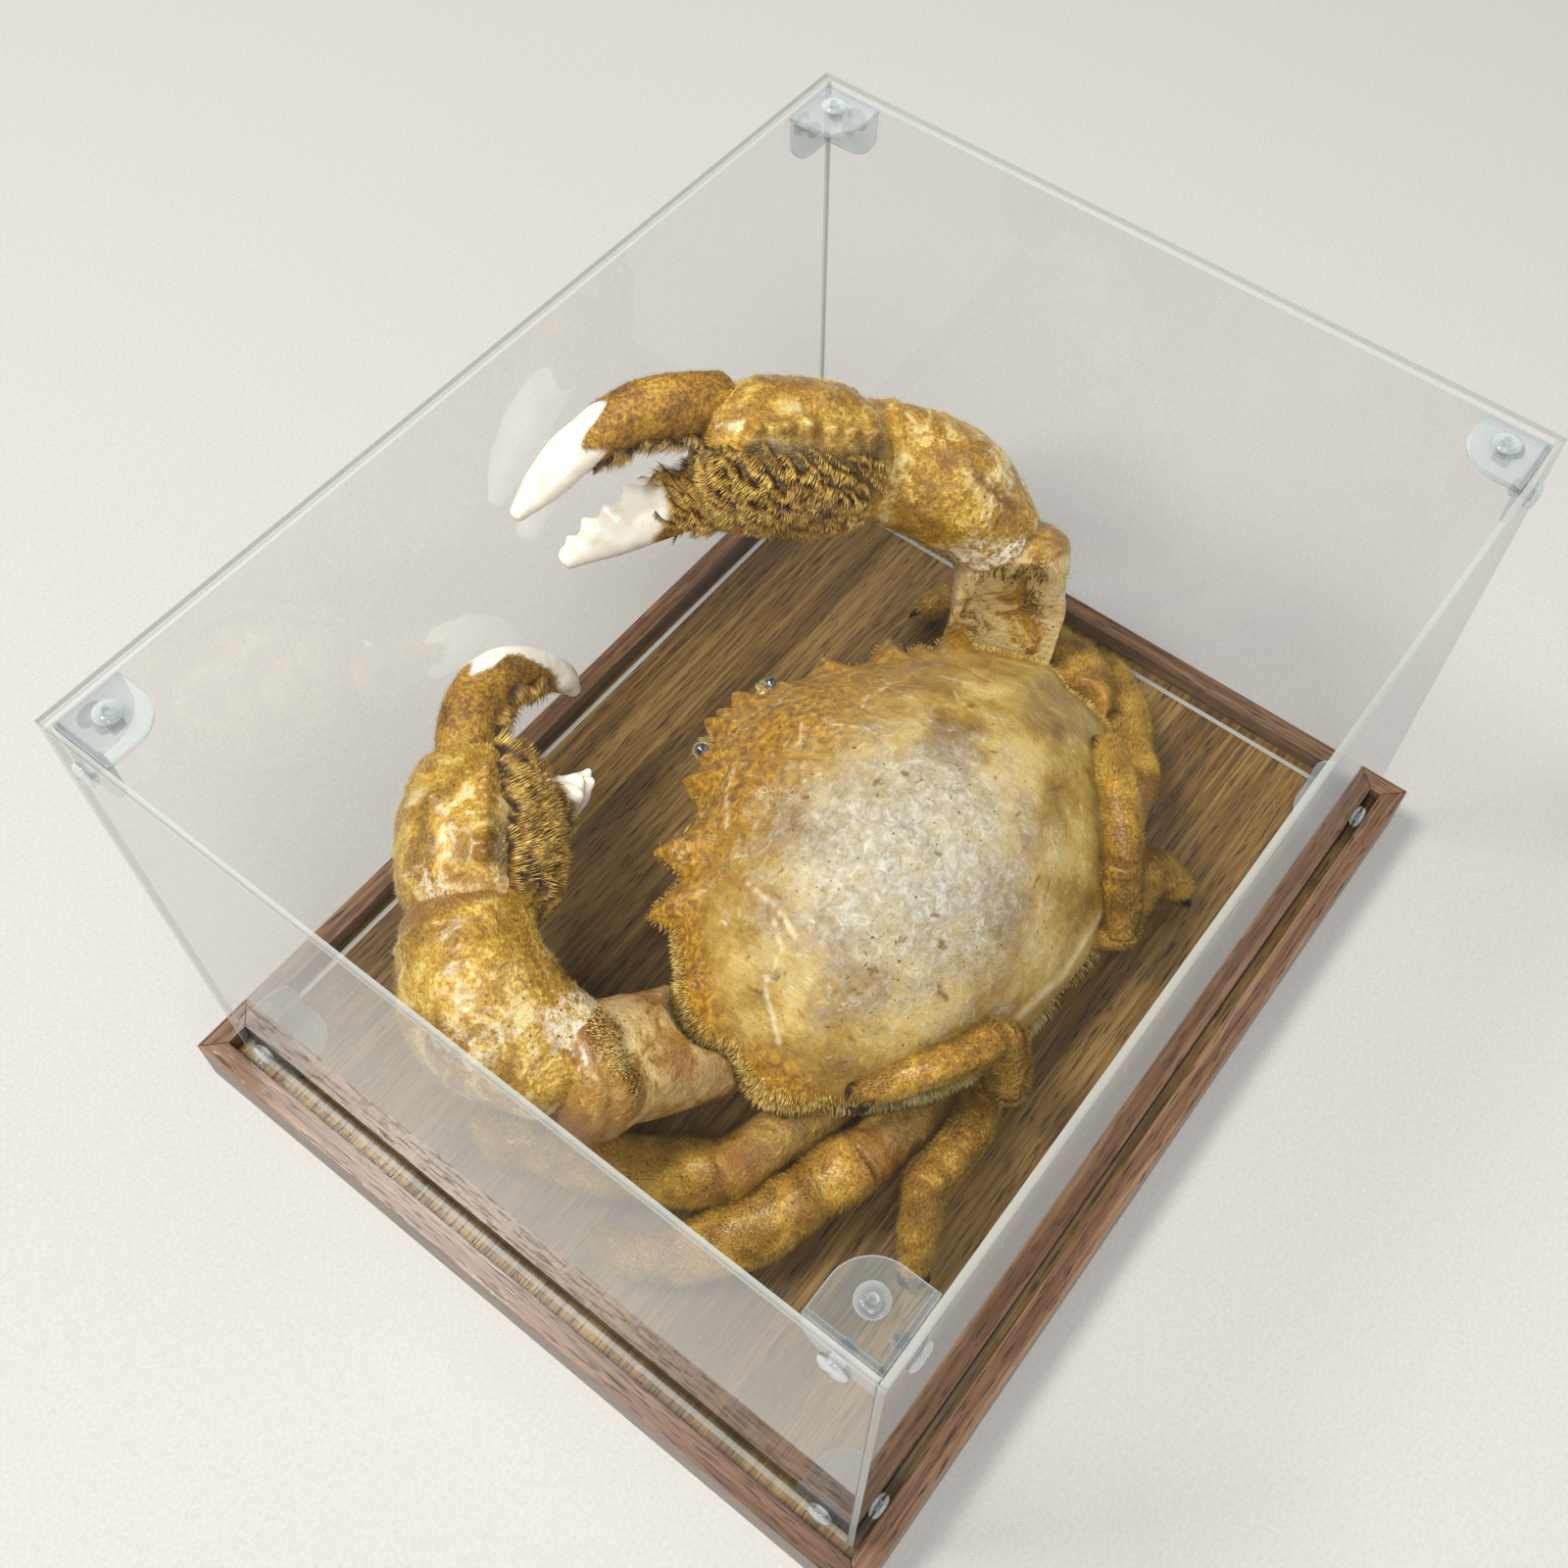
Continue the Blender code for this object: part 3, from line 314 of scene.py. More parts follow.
# The shell: the crab's domed back, a hard calcified plate dried to golden tan. The down has worn
# off the middle, which is scratched and silvery, its pale middle partly the bare shell and partly a
# painted sheen, and stays as short bristles on the lobes.
SHELL_HALF_WIDTH = 70.5
SHELL_FRONT = 59.0
SHELL_REAR = 56.0
FRONT_POWER = 1.42
REAR_POWER = 2.3
DOME_HEIGHT = 41.0
SHELL_SIDES = 480
DOME_ROWS = 130
MARGIN_ROWS = 30
EDGE_ROW = DOME_ROWS + MARGIN_ROWS
SHELL_TEETH = ((5.5, 4.0, 4.0, 0.3), (24.5, 3.6, 5.0, 0.5), (45.4, 7.8, 6.6, 0.6), (60.4, 7.8, 6.0, 0.8),
               (-5.5, 4.0, 4.0, 0.3), (-31.0, 4.6, 6.5, 0.5), (-48.8, 6.2, 5.6, 0.6), (-57.3, 3.0, 3.0, 0.3),
               (-66.0, 8.8, 5.6, 0.8), (0.0, 3.0, 3.2, -2.2), (15.5, 1.4, 2.4, 0.6), (-15.5, 1.4, 2.4, 0.6))
BODY = (Matrix.Translation((-12.5 * MM, 10.0 * MM, (31.5 + BOARD_TOP) * MM))
        @ Matrix.Rotation(math.radians(-1.5), 4, "Z") @ Matrix.Rotation(math.radians(-2.5), 4, "Y")
        @ Matrix.Rotation(math.radians(-11.0), 4, "X"))
BODY_TURN = np.array(BODY.to_3x3())


def in_body(points):
    """Millimetres in the body's own frame, u to its left, v to its rear and w up, to the scene."""
    return np.asarray(points, float) * MM @ BODY_TURN.T + np.array(BODY.translation)


def noise(points, lump, seed=0):
    """Smooth noise from -1 to 1 over points in metres, with lumps of a size in millimetres."""
    place = np.asarray(points) / (lump * MM) + seed * 13.7
    cell = np.floor(place).astype(np.int64)
    part = place - cell
    part = part * part * (3 - 2 * part)
    total = np.zeros(place.shape[:-1])
    for step in itertools.product((0, 1), repeat=3):
        q = cell + np.array(step)
        h = (q[..., 0] * 374761393 + q[..., 1] * 668265263 + q[..., 2] * 1440662683) & 0x7FFFFFFF
        h = ((h ^ (h >> 13)) * 1274126177) & 0x7FFFFFFF
        value = ((h ^ (h >> 16)) & 0xFFFF) / 32767.5 - 1
        weight = np.ones_like(total)
        for axis in range(3):
            weight = weight * (part[..., axis] if step[axis] else 1 - part[..., axis])
        total = total + value * weight
    return total


def smoothstep(low, high, x):
    t = np.clip((x - low) / (high - low), 0, 1)
    return t * t * (3 - 2 * t)


def wrapped(angle, middle=0.0):
    """How far an angle is from a middle one, the short way round."""
    return np.arctan2(np.sin(angle - middle), np.cos(angle - middle))


def raised(form, height):
    """A form with its skin raised by a height in millimetres at each point."""
    return form + outward(form) * height[..., None] * MM


def shell_radius(angle):
    """Distance from the crest to the shell's smooth edge; angle 0 points to the front."""
    c, s = np.cos(angle), np.sin(angle)
    power = np.where(c > 0, FRONT_POWER, REAR_POWER)
    length = np.where(c > 0, SHELL_FRONT, SHELL_REAR)
    return (np.abs(s / SHELL_HALF_WIDTH) ** power + np.abs(c / length) ** power) ** (-1 / power)


LEFT_MARGIN = ((0, 0), (25, 0), (33, -1.5), (40, 0), (54, 0.8), (61, 1.8), (68, 3.4), (74, 3.0),
               (79, 6.4), (84, 5.4), (88, 3.6), (92, 0.6), (94.5, 0.4), (97.5, 3.4), (102.5, 6.0),
               (108, 4.4), (114, 1.4), (121, -0.4), (180, 0))
RIGHT_MARGIN = ((0, 0), (28, 0), (40, 0.5), (53, 2.0), (61, 3.2), (70, 4.6), (76, 4.8), (82, 4.4),
                (89, 5.2), (94, 2.6), (99, 4.2), (104, 4.8), (111, 2.6), (120, 0), (180, 0))


def edge_bulge(angle):
    """How far the shell's margin stands outside the smooth oval: bristly lobes and notches at each side."""
    turn = np.degrees(wrapped(angle))
    left = np.interp(turn, *zip(*LEFT_MARGIN))
    right = np.interp(-turn, *zip(*RIGHT_MARGIN))
    return np.where(turn > 0, left, right)


def edge_height(angle):
    turn = np.abs(wrapped(angle))
    return 3.2 * np.sin(np.minimum(turn * 1.5, math.pi)) - 1.2 * (1 - np.cos(turn)) / 2


def tooth_reach(angle):
    """How far the edge teeth carry the shell's edge out and up: blunt points on broad bases."""
    out, lift = np.zeros_like(angle), np.zeros_like(angle)
    for degrees, reach, half_base, rise in SHELL_TEETH:
        centre = math.radians(degrees)
        off = wrapped(angle, centre) * shell_radius(angle)
        near = np.sqrt((off / half_base) ** 2 + 0.012) - 0.11
        point = np.clip(1 - near, 0, 1) ** 1.6
        out = np.maximum(out, reach * point)
        lift = lift + rise * point
    return out, lift


def shell_grid():
    """Rows of points from the crest over the edge to the underside, in the body's frame."""
    angle = np.linspace(0, 2 * math.pi, SHELL_SIDES, endpoint=False)
    radius, bulge, edge = shell_radius(angle), edge_bulge(angle), edge_height(angle)
    forward = np.maximum(np.cos(angle), 0)
    out, lift = tooth_reach(angle)
    rows = []
    for share in np.concatenate([np.linspace(0.006, 0.86, DOME_ROWS), np.linspace(0.866, 0.996, MARGIN_ROWS)]):
        power = 2.2 - 0.3 * forward
        swell = (1 - share ** power) ** (0.70 + 0.12 * forward)
        near = smoothstep(0.87, 1.0, share)
        reach = (radius + bulge * share ** 6) * share + out * near
        rows.append((reach, edge + (DOME_HEIGHT - edge) * swell + lift * near))
    for share, drop in ((1.0, -0.9), (0.995, -1.8), (0.985, -2.6), (0.96, -3.6), (0.92, -4.8), (0.86, -6.4)):
        near = smoothstep(0.9, 0.99, share)
        tip = smoothstep(0.0, 6.0, out) * near
        reach = (radius + bulge * share ** 6) * share + out * near * (1 - 0.06 * (1 - share) / 0.02)
        rows.append((reach, edge + drop * (1 - 0.45 * tip) + lift * near))
    for share, w in ((0.78, -8.2), (0.7, -9.0), (0.5, -9.3), (0.2, -9.4), (0.01, -9.4)):
        rows.append((radius * share, np.full_like(angle, w)))
    grid = np.array([np.stack([r * np.sin(angle), -r * np.cos(angle), w], -1) for r, w in rows])
    return grid, angle


def stroke(flat, points, half_width):
    """How near points of a grid lie to a line drawn over the body, from 0 to 1."""
    best = np.zeros(flat.shape[:-1])
    for a, b in zip(np.array(points, float)[:-1], np.array(points, float)[1:]):
        span = b - a
        t = np.clip(((flat - a) @ span) / (span @ span), 0, 1)
        gap = np.linalg.norm(flat - (a + t[..., None] * span), axis=-1)
        best = np.maximum(best, np.exp(-(gap / half_width) ** 2))
    return best


def outward(grid):
    """Unit normals of a grid of rows that run round a closed form."""
    around = np.roll(grid, -1, 1) - np.roll(grid, 1, 1)
    down = np.gradient(grid, axis=0)
    normal = np.cross(down, around)
    normal /= np.maximum(np.linalg.norm(normal, axis=-1, keepdims=True), 1e-12)
    middle = grid.mean((0, 1))
    if (normal * (grid - middle)).sum(-1).mean() < 0:
        normal = -normal
    return normal


def mark(piece, name, values):
    """Store a value from 0 to 1 on each point, for the finish to read."""
    layer = piece.data.attributes.new(name, "FLOAT", "POINT")
    layer.data.foreach_set("value", np.asarray(values, np.float32).ravel())


def speckled(mat, place, spacing, size, seed):
    """1 inside small round pits about a spacing apart in millimetres, 0 outside."""
    cells = add(mat, "TexVoronoi", place, Scale=1 / (spacing * MM))
    dot = add(mat, "Math", cells, size / spacing, operation="LESS_THAN")
    keep = add(mat, "TexNoise", place, Scale=60 + seed, Detail=2)
    some = add(mat, "Math", keep, 0.5, operation="GREATER_THAN")
    return add(mat, "Math", dot, some, operation="MULTIPLY")


def dried_shell():
    """Dried bare shell: amber at the rim, golden over the dome, silvery and flaky where it is worn; the
    silvery middle is partly a painted sheen.
    """
    mat, shader = new_material("dried_golden_shell", Roughness=0.42, IOR=1.56, Specular_IOR_Level=0.55,
                               Coat_Weight=0.2, Coat_Roughness=0.3, Specular_Tint=linear("fff0cc"),
                               Subsurface_Weight=0.06, Subsurface_Radius=(0.0015, 0.0009, 0.0004),
                               Subsurface_Scale=1.0)
    place = add(mat, "TexCoord", out="Object")
    worn_and_sheen, rim, groove, chip, drawn_scratch_and_hem_highlight = [add(mat, "Attribute", out="Fac", attribute_name=name) for name in
                                           ("worn_and_sheen", "rim", "groove", "chip", "scratch_and_hem_highlight")]
    broad = add(mat, "TexNoise", place, Scale=55, Detail=6, Roughness=0.6)
    fine = add(mat, "TexNoise", place, Scale=420, Detail=6, Roughness=0.72, Distortion=0.6)
    combed = add(mat, "Mapping", place, Scale=(1.0, 0.22, 0.6), Rotation=(0.2, 0.1, 0.5))
    streaks = add(mat, "TexNoise", combed, Scale=560, Detail=5, Roughness=0.7, Distortion=2.2)
    tone = add(mat, "Mix", 0.2, None, broad, streaks)
    golden = add(mat, "ValToRGB", tone, stops=[(0.38, "745317"), (0.49, "9c7e35"), (0.61, "c6ae68")])
    amber = add(mat, "ValToRGB", fine, stops=[(0.38, "623e00"), (0.52, "986c04"), (0.66, "c4962a")])
    # Silver: the worn shell's tone, and a painted sheen over the crest.
    silver_wear_and_sheen = add(mat, "ValToRGB", fine, stops=[(0.36, "8c8670"), (0.5, "a3a092"), (0.62, "bcbab2")])
    rim_edge = add(mat, "Math", broad, 0.9, -0.45, operation="MULTIPLY_ADD")
    rim_share = add(mat, "Math", rim, rim_edge, operation="ADD", use_clamp=True)
    flakes = add(mat, "TexNoise", place, Scale=150, Detail=10, Roughness=0.78, Distortion=0.3)
    ragged = add(mat, "Math", flakes, 1.9, -1.02, operation="MULTIPLY_ADD")
    scraped = add(mat, "Math", flakes, 3.6, -1.62, operation="MULTIPLY_ADD")
    bare = add(mat, "Math", worn_and_sheen, ragged, operation="ADD")
    bare_and_sheen_share = add(mat, "MapRange", bare, 0.1, 1.05)
    bent = add(mat, "TexNoise", place, Scale=350, out="Color")
    shift = add(mat, "VectorMath", bent, (0.0034, 0.0034, 0.0034), operation="MULTIPLY")
    warped = add(mat, "VectorMath", place, shift, operation="ADD")
    pits = speckled(mat, warped, 2.6, 0.36, 3)
    specks = speckled(mat, place, 1.3, 0.17, 9)
    dots = add(mat, "Math", pits, specks, operation="MAXIMUM")
    gone = add(mat, "Math", dots, chip, operation="MAXIMUM")
    drawn = add(mat, "Mapping", place, Scale=(1.0, 0.3, 0.5), Rotation=(0.2, 0.1, 0.7))
    scratch_and_hem_highlight = add(mat, "TexNoise", drawn, Scale=260, Detail=1.0, Distortion=1.2)
    off = add(mat, "Math", scratch_and_hem_highlight, 0.5, operation="SUBTRACT")
    size = add(mat, "Math", off, operation="ABSOLUTE")
    hair_line = add(mat, "MapRange", size, 0.014, 0.002, 0, 0.8)
    few = add(mat, "Math", hair_line, scraped, operation="MULTIPLY", use_clamp=True)
    # Pale lines: real scratches, and a painted highlight along the raised rear hem.
    lines = add(mat, "Math", few, drawn_scratch_and_hem_highlight, operation="MAXIMUM")
    colour = layered(mat, golden, (rim_share, amber), (bare_and_sheen_share, silver_wear_and_sheen), (gone, linear("6c4c1c")),
                     (groove, linear("94682a")), (lines, linear("e8dfc0")))
    rough = add(mat, "MapRange", flakes, 0.3, 0.7, 0.32, 0.55)
    bark = embossed(mat, (flakes, 1.2, 0.5), (fine, 0.8, 0.8), (streaks, 0.5, 0.3), (dots, -0.5, 0.8))
    feed(shader, {"Base Color": colour, "Roughness": rough, "Normal": bark})
    return mat


shell_mat = dried_shell()
grid, turn = shell_grid()
flat = grid[..., :2]
place = in_body(grid)


def drawn(lines, mirrored=False):
    """The sum of lines over the shell, each a half width and its points, on both sides if mirrored."""
    return sum(stroke(flat, [(u * flip, v) for u, v in points], half_width)
               for flip in ((1, -1) if mirrored else (1,)) for half_width, *points in lines)


grooves = drawn([(0.55, (15.9, -46.2), (13.0, -36), (9.6, -25.4)),
                 (0.55, (43.3, -30.8), (44.4, -20), (42.9, -10.0))], mirrored=True)
folds = drawn([(3.5, (56, 8), (38, -4), (20, -8), (12, -2), (10, 14))], mirrored=True)
scratches = drawn([
    (0.6, (46.5, -9.6), (51.8, -1.2), (59.0, 0.7), (65.1, 11.8)),
    (0.55, (43.4, -18.7), (45.0, -9.5), (48.2, -0.3)),
    (0.5, (17.4, -44.2), (25.0, -40.0), (33.1, -33.0)), (0.5, (20.7, -23.9), (16.0, -25.0), (13.1, -23.2)),
    (0.5, (-11.1, -28.2), (-17.0, -30.0), (-22.3, -27.9), (-21.0, -20.3)), (0.5, (-0.8, -29.8), (-3.8, -22.0)),
    (0.5, (-35.3, -19.7), (-38.3, -10.0))])
STREWN_SCRATCHES = 46
chance = np.random.default_rng(8)
for _ in range(STREWN_SCRATCHES):
    at = np.array([chance.uniform(-45, 52), chance.uniform(-48, 5)])
    way = chance.uniform(0, math.pi)
    bend = chance.uniform(-0.5, 0.5)
    reach = chance.uniform(1.5, 5.0)
    ends = [at + reach * np.array([math.cos(way + bend * k), math.sin(way + bend * k)]) * k
            for k in (-1, 0, 1)]
    scratches = scratches + stroke(flat, ends, 0.3) * chance.uniform(0.3, 0.8)
CHIPS = ((26.1, 27.2, 0.9, 1.7, 0.4), (32.0, 19.1, 0.8, 1.8, 1.2), (32.5, 34.4, 0.9, 1.6, 0.2),
         (41.9, 18.5, 0.7, 1.5, 1.6), (55.9, 2.6, 0.7, 1.3, 0.9), (58.5, 12.6, 0.6, 1.5, 0.3),
         (60.9, 0.9, 0.5, 2.2, 0.2), (56.8, -6.9, 0.4, 2.4, 0.9), (0.4, -3.0, 0.9, 1.4, 0.8),
         (1.8, -7.0, 0.7, 1.0, 0.1), (8.0, -10.7, 0.6, 1.5, 1.4), (23.2, 21.0, 0.6, 1.6, 0.9),
         (53.7, 25.1, 0.6, 1.2, 0.5), (-4.0, 34.0, 0.35, 3.0, 1.9), (-6.5, 37.0, 0.3, 2.2, 2.0),
         (-20.0, 5.0, 0.6, 1.2, 0.7), (-30.0, -8.0, 0.5, 1.3, 1.1), (20.0, -22.0, 0.6, 1.0, 0.2),
         (38.0, -14.0, 0.5, 1.1, 1.3), (12.0, 12.0, 0.5, 1.1, 0.6), (-12.0, 20.0, 0.5, 1.4, 1.5))
chips = np.zeros(grid.shape[:2])
broken = 0.7 * noise(place, 1.4, 31) + 0.3 * noise(place, 0.7, 32)
for u, v, across, along, tilt in CHIPS:
    off_u, off_v = flat[..., 0] - u, flat[..., 1] - v
    one = (off_u * math.cos(tilt) + off_v * math.sin(tilt)) / across
    other = (off_v * math.cos(tilt) - off_u * math.sin(tilt)) / along
    chips = np.maximum(chips, 0.8 * smoothstep(1.0, 0.7, np.hypot(one, other) + broken))
# A raised hem along the rear edge, which the scratch mark also paints pale as a highlight.
hem = stroke(flat, [(-44, 41), (-28, 50.5), (0, 53.5), (28, 50.5), (44, 41)], 0.8)
top = np.ones(grid.shape[:2])
top[EDGE_ROW:] = 0
relief = (noise(place, 26, 1) * 0.55 + noise(place, 9, 2) * 0.28 + noise(place, 4, 3) * 0.12
          + noise(place, 1.9, 4) * 0.05 - grooves * 0.4 - folds * 0.6 + hem * 0.5 + scratches * 0.12
          - chips * 0.3) * top
shell_points = raised(place, relief)
carapace = piece_from("carapace_shell", [shell_points], shell_mat, "carapace")
middle_off = np.hypot((flat[..., 0] - 16) / 44, (flat[..., 1] - 8) / 42)
share = np.linalg.norm(flat, axis=-1) / shell_radius(turn)[None, :]
# Silvery pale over the middle of the dome: partly worn bare shell, partly a painted sheen where the crest
# catches the light.
mark(carapace, "worn_and_sheen", smoothstep(1.3, 0.15, middle_off) * top)
degrees = np.degrees(np.abs(wrapped(turn)))
lobes = np.exp(-((degrees - 78) / 12) ** 2) + np.exp(-((degrees - 103) / 9) ** 2)
mark(carapace, "rim", np.clip(smoothstep(0.88, 1.1, share) * 0.55 + smoothstep(-8, -42, flat[..., 1]) * 0.95
                              + smoothstep(0.93, 1.0, share) * lobes[None, :] * 0.7, 0, 1))
mark(carapace, "groove", np.clip(grooves, 0, 1) * top)
frayed = smoothstep(-0.6, 0.5, noise(place, 1.3, 21)) * 0.55
mark(carapace, "chip", chips * top)
# Scratches, and along the raised rear hem a pale line that is a painted highlight.
mark(carapace, "scratch_and_hem_highlight", np.clip(scratches * frayed + hem * 0.35, 0, 1) * top)

# Bristles of the shell: stiff golden hairs, thick at the root, left along the side lobes, the
# front edge and the underside, standing out past the outline.


def scatter(grid, count, mask, seed):
    """Random places on a grid, thicker where the mask is high: point, normal, way down the rows, map place."""
    chance = np.random.default_rng(seed)
    normal = outward(grid)
    across = np.roll(grid, -1, 1) - grid
    down = np.empty_like(grid)
    down[:-1] = grid[1:] - grid[:-1]
    down[-1] = down[-2]
    area = np.linalg.norm(np.cross(across, down), axis=-1) * mask
    area[-1] = 0
    rows, sides = area.shape
    picked = chance.choice(area.size, count, p=area.ravel() / area.sum())
    i, k = np.divmod(picked, sides)
    a, b = chance.random(count), chance.random(count)
    n = (k + 1) % sides
    point = (grid[i, k] * ((1 - a) * (1 - b))[:, None] + grid[i, n] * ((1 - a) * b)[:, None]
             + grid[i + 1, k] * (a * (1 - b))[:, None] + grid[i + 1, n] * (a * b)[:, None])
    way = down[i, k]
    out = normal[i, k]
    way = way - out * (way * out).sum(-1, keepdims=True)
    way /= np.maximum(np.linalg.norm(way, axis=-1, keepdims=True), 1e-12)
    patch = np.stack([(k + b) / sides, (i + a) / rows], -1)
    return point, out, way, patch, i, k, chance


def tufts(name, roots, outs, lies, patches, lengths, widths, mat, lift,
          flat_ratio=0.7, bends=1):
    """Bent, tapered tufts as closed solids on a skin, joined in one piece.

    lift gives how far a tuft stands up at its root and at its tip, from 0 lying to 1 upright.
    """
    count = len(roots)
    side = np.cross(lies, outs)
    lengths, widths = lengths[:, None] * MM, widths[:, None] * MM
    spine = [roots - outs * 0.25 * MM]
    reach = roots
    for b in range(bends + 1):
        up = lift[0] + (lift[1] - lift[0]) * b / max(bends, 1)
        step = lies * (1 - up) + outs * up
        step /= np.linalg.norm(step, axis=-1, keepdims=True)
        reach = reach + step * lengths / (bends + 1)
        spine.append(reach)
    rings = []
    for r in range(bends + 1):
        width = widths * (1 - 0.55 * r / (bends + 1)) / 2
        rings.append(np.stack([spine[r] + side * width, spine[r] - side * width,
                               spine[r] + outs * width * flat_ratio * 1.6], 1))
    points = np.concatenate(rings + [spine[-1][:, None]], 1)
    each = 3 * (bends + 1) + 1
    pattern = [(2, 1, 0)]
    for r in range(bends):
        pattern += [(3 * r + k, 3 * r + (k + 1) % 3, 3 * r + 3 + (k + 1) % 3, 3 * r + 3 + k) for k in range(3)]
    pattern += [(3 * bends + k, 3 * bends + (k + 1) % 3, each - 1) for k in range(3)]
    shift = (np.arange(count) * each)[:, None]
    faces = []
    for face in pattern:
        faces += (shift + np.array(face)[None, :]).tolist()
    piece = mesh_object(name, points, faces, mat, turn_out=False)
    mesh = piece.data
    ring_angle = np.radians([90, 210, 330])
    ring_uv = np.stack([np.cos(ring_angle), np.sin(ring_angle)], -1)
    local = [ring_uv * 0.0015 * (1 - 0.6 * r / (bends + 1)) for r in range(bends + 1)] + [np.zeros((1, 2))]
    spot = np.clip(patches, 0.002, 0.998)[:, None, :] + np.concatenate(local)[None]
    corner = np.zeros(len(mesh.loops), np.int64)
    mesh.loops.foreach_get("vertex_index", corner)
    layer = mesh.uv_layers.new(name="OFBake")
    layer.data.foreach_set("uv", spot.reshape(-1, 2)[corner].astype(np.float32).ravel())
    tip = np.tile(np.concatenate([np.full(3, r / (bends + 1)) for r in range(bends + 1)] + [[1.0]]), count)
    mark(piece, "tip", tip)
    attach(piece, "root")
    return piece


def coat(name, form, mask, count, seed, length, width, mat, slot, lift, bends=1, longer=None, marks=()):
    """Hairs strewn over a form where the mask is high, with the form's marks at their roots."""
    roots, outs, ways, patch, i, k, chance = scatter(form, count, mask, seed)
    lengths = chance.uniform(*length, count) * (1 if longer is None else longer[k])
    piece = tufts(name, roots, outs, ways, patch, lengths, chance.uniform(*width, count), mat,
                  lift=lift, bends=bends)
    for key, values in dict(marks).items():
        mark(piece, key, np.repeat(values[i, k], 3 * bends + 4))


def golden_hair(name, dark, middle, pale, roughness, stops=(0.38, 0.6, 0.92)):
    """Stiff dried hair: darker towards the root, a painted shade among the crowded hairs, and pale gold and
    glossy to the tip.
    """
    mat, shader = new_material(name, Roughness=roughness, IOR=1.55, Specular_IOR_Level=0.7)
    place = add(mat, "TexCoord", out="Object")
    tip = add(mat, "Attribute", out="Fac", attribute_name="tip")
    patchy = add(mat, "TexNoise", place, Scale=260, Detail=4, Roughness=0.65)
    # Darker towards the root: a painted shade among the hairs.
    tone = add(mat, "Math", tip, 0.45, patchy, operation="MULTIPLY_ADD")
    colour = add(mat, "ValToRGB", tone, stops=list(zip(stops, (dark, middle, pale))))
    feed(shader, {"Base Color": colour})
    return mat


bristle_mat = golden_hair("dried_golden_bristle", "6a4808", "ab821c", "e8cf76", 0.42)
at_edge = np.zeros(grid.shape[:2])
at_edge[EDGE_ROW - 5:EDGE_ROW + 6] = 1
on_lobes = 0.1 * smoothstep(25, 50, degrees)[None, :] + lobes[None, :] * 2.0
coat("carapace_bristles", shell_points, at_edge * on_lobes, 8000, 5, (1.6, 3.0), (0.2, 0.34), bristle_mat,
     "golden_shell", (0.85, 0.5), longer=0.6 + 0.5 * lobes.clip(0, 1))

near_edge = np.zeros(grid.shape[:2])
near_edge[EDGE_ROW - 7:EDGE_ROW] = np.linspace(0.3, 1, 7)[:, None]
coat("carapace_down", shell_points, near_edge * (0.004 + lobes[None, :]), 2600, 6, (0.7, 1.5), (0.16, 0.26),
     bristle_mat, "golden_shell", (0.6, 0.4))

rear_down = golden_hair("dusty_olive_down", "54461a", "8c7a38", "c9bc7c", 0.5)
behind = smoothstep(112, 128, degrees) * (0.25 + 0.75 * (np.sin(turn) > 0)) * smoothstep(179, 160, degrees)
under_edge = np.zeros(grid.shape[:2])
under_edge[EDGE_ROW - 2:EDGE_ROW + 6] = behind[None, :] + 1e-6
coat("carapace_rear_bristles", shell_points, under_edge, 5000, 7, (2.2, 4.6), (0.22, 0.36), rear_down,
     "golden_shell", (0.7, 0.35))

# The eyes: small glassy balls on short stalks, dried to a dark blue-grey, sunk in the shell's
# front edge between tags of greenish down.
EYE_SPAN = 29.0
EYE_SIZE = 3.6


def curve(values, t):
    """Places on a smooth curve through a row of values, at an array of t from 0 to 1."""
    values = np.asarray(values, float)
    spans = len(values) - 1
    ends = np.concatenate([[2 * values[0] - values[1]], values, [2 * values[-1] - values[-2]]])
    where = np.clip(t, 0, 1) * spans
    i = np.minimum(where.astype(int), spans - 1)
    f = (where - i).reshape(-1, *[1] * (values.ndim - 1))
    a, b, c, d = ends[i], ends[i + 1], ends[i + 2], ends[i + 3]
    return b + ((c - a) * f + (2 * a - 5 * b + 4 * c - d) * f ** 2 + (3 * b - a - 3 * c + d) * f ** 3) / 2


def tube(path, widths, heights, sides, rows, power=2.0, caps=(1.0, 1.0), shape=None, up=(0, 0, 1)):
    """A closed form along a path in millimetres: rows of points in metres, with t and the angle of each.

    shape(t, angle) gives a factor on the size, for necks, rims, ridges and swellings.
    """
    lead = np.radians([88, 70, 50, 32, 16])
    t = np.concatenate([np.zeros(5), np.linspace(0, 1, rows), np.ones(5)])
    reach = np.concatenate([-caps[0] * np.sin(lead), np.zeros(rows), caps[1] * np.sin(lead[::-1])])
    round_off = np.concatenate([np.cos(lead), np.ones(rows), np.cos(lead[::-1])])
    centre = curve(path, t)
    along = curve(path, np.minimum(t + 0.02, 1)) - curve(path, np.maximum(t - 0.02, 0))
    along /= np.linalg.norm(along, axis=-1, keepdims=True)
    side = np.cross(along, np.array(up, float))
    side /= np.linalg.norm(side, axis=-1, keepdims=True)
    rise = np.cross(side, along)
    angle = np.linspace(0, 2 * math.pi, sides, endpoint=False)
    c, s = np.cos(angle), np.sin(angle)
    x = np.sign(c) * np.abs(c) ** (2 / power)
    y = np.sign(s) * np.abs(s) ** (2 / power)
    tt, aa = np.meshgrid(t, angle, indexing="ij")
    factor = round_off[:, None] * (1 if shape is None else shape(tt, aa))
    half_w, half_h = curve(widths, t)[:, None] / 2 * factor, curve(heights, t)[:, None] / 2 * factor
    points = (centre + along * reach[:, None])[:, None] + side[:, None] * (x * half_w)[..., None]
    points = points + rise[:, None] * (y * half_h)[..., None]
    return world(points), tt, aa


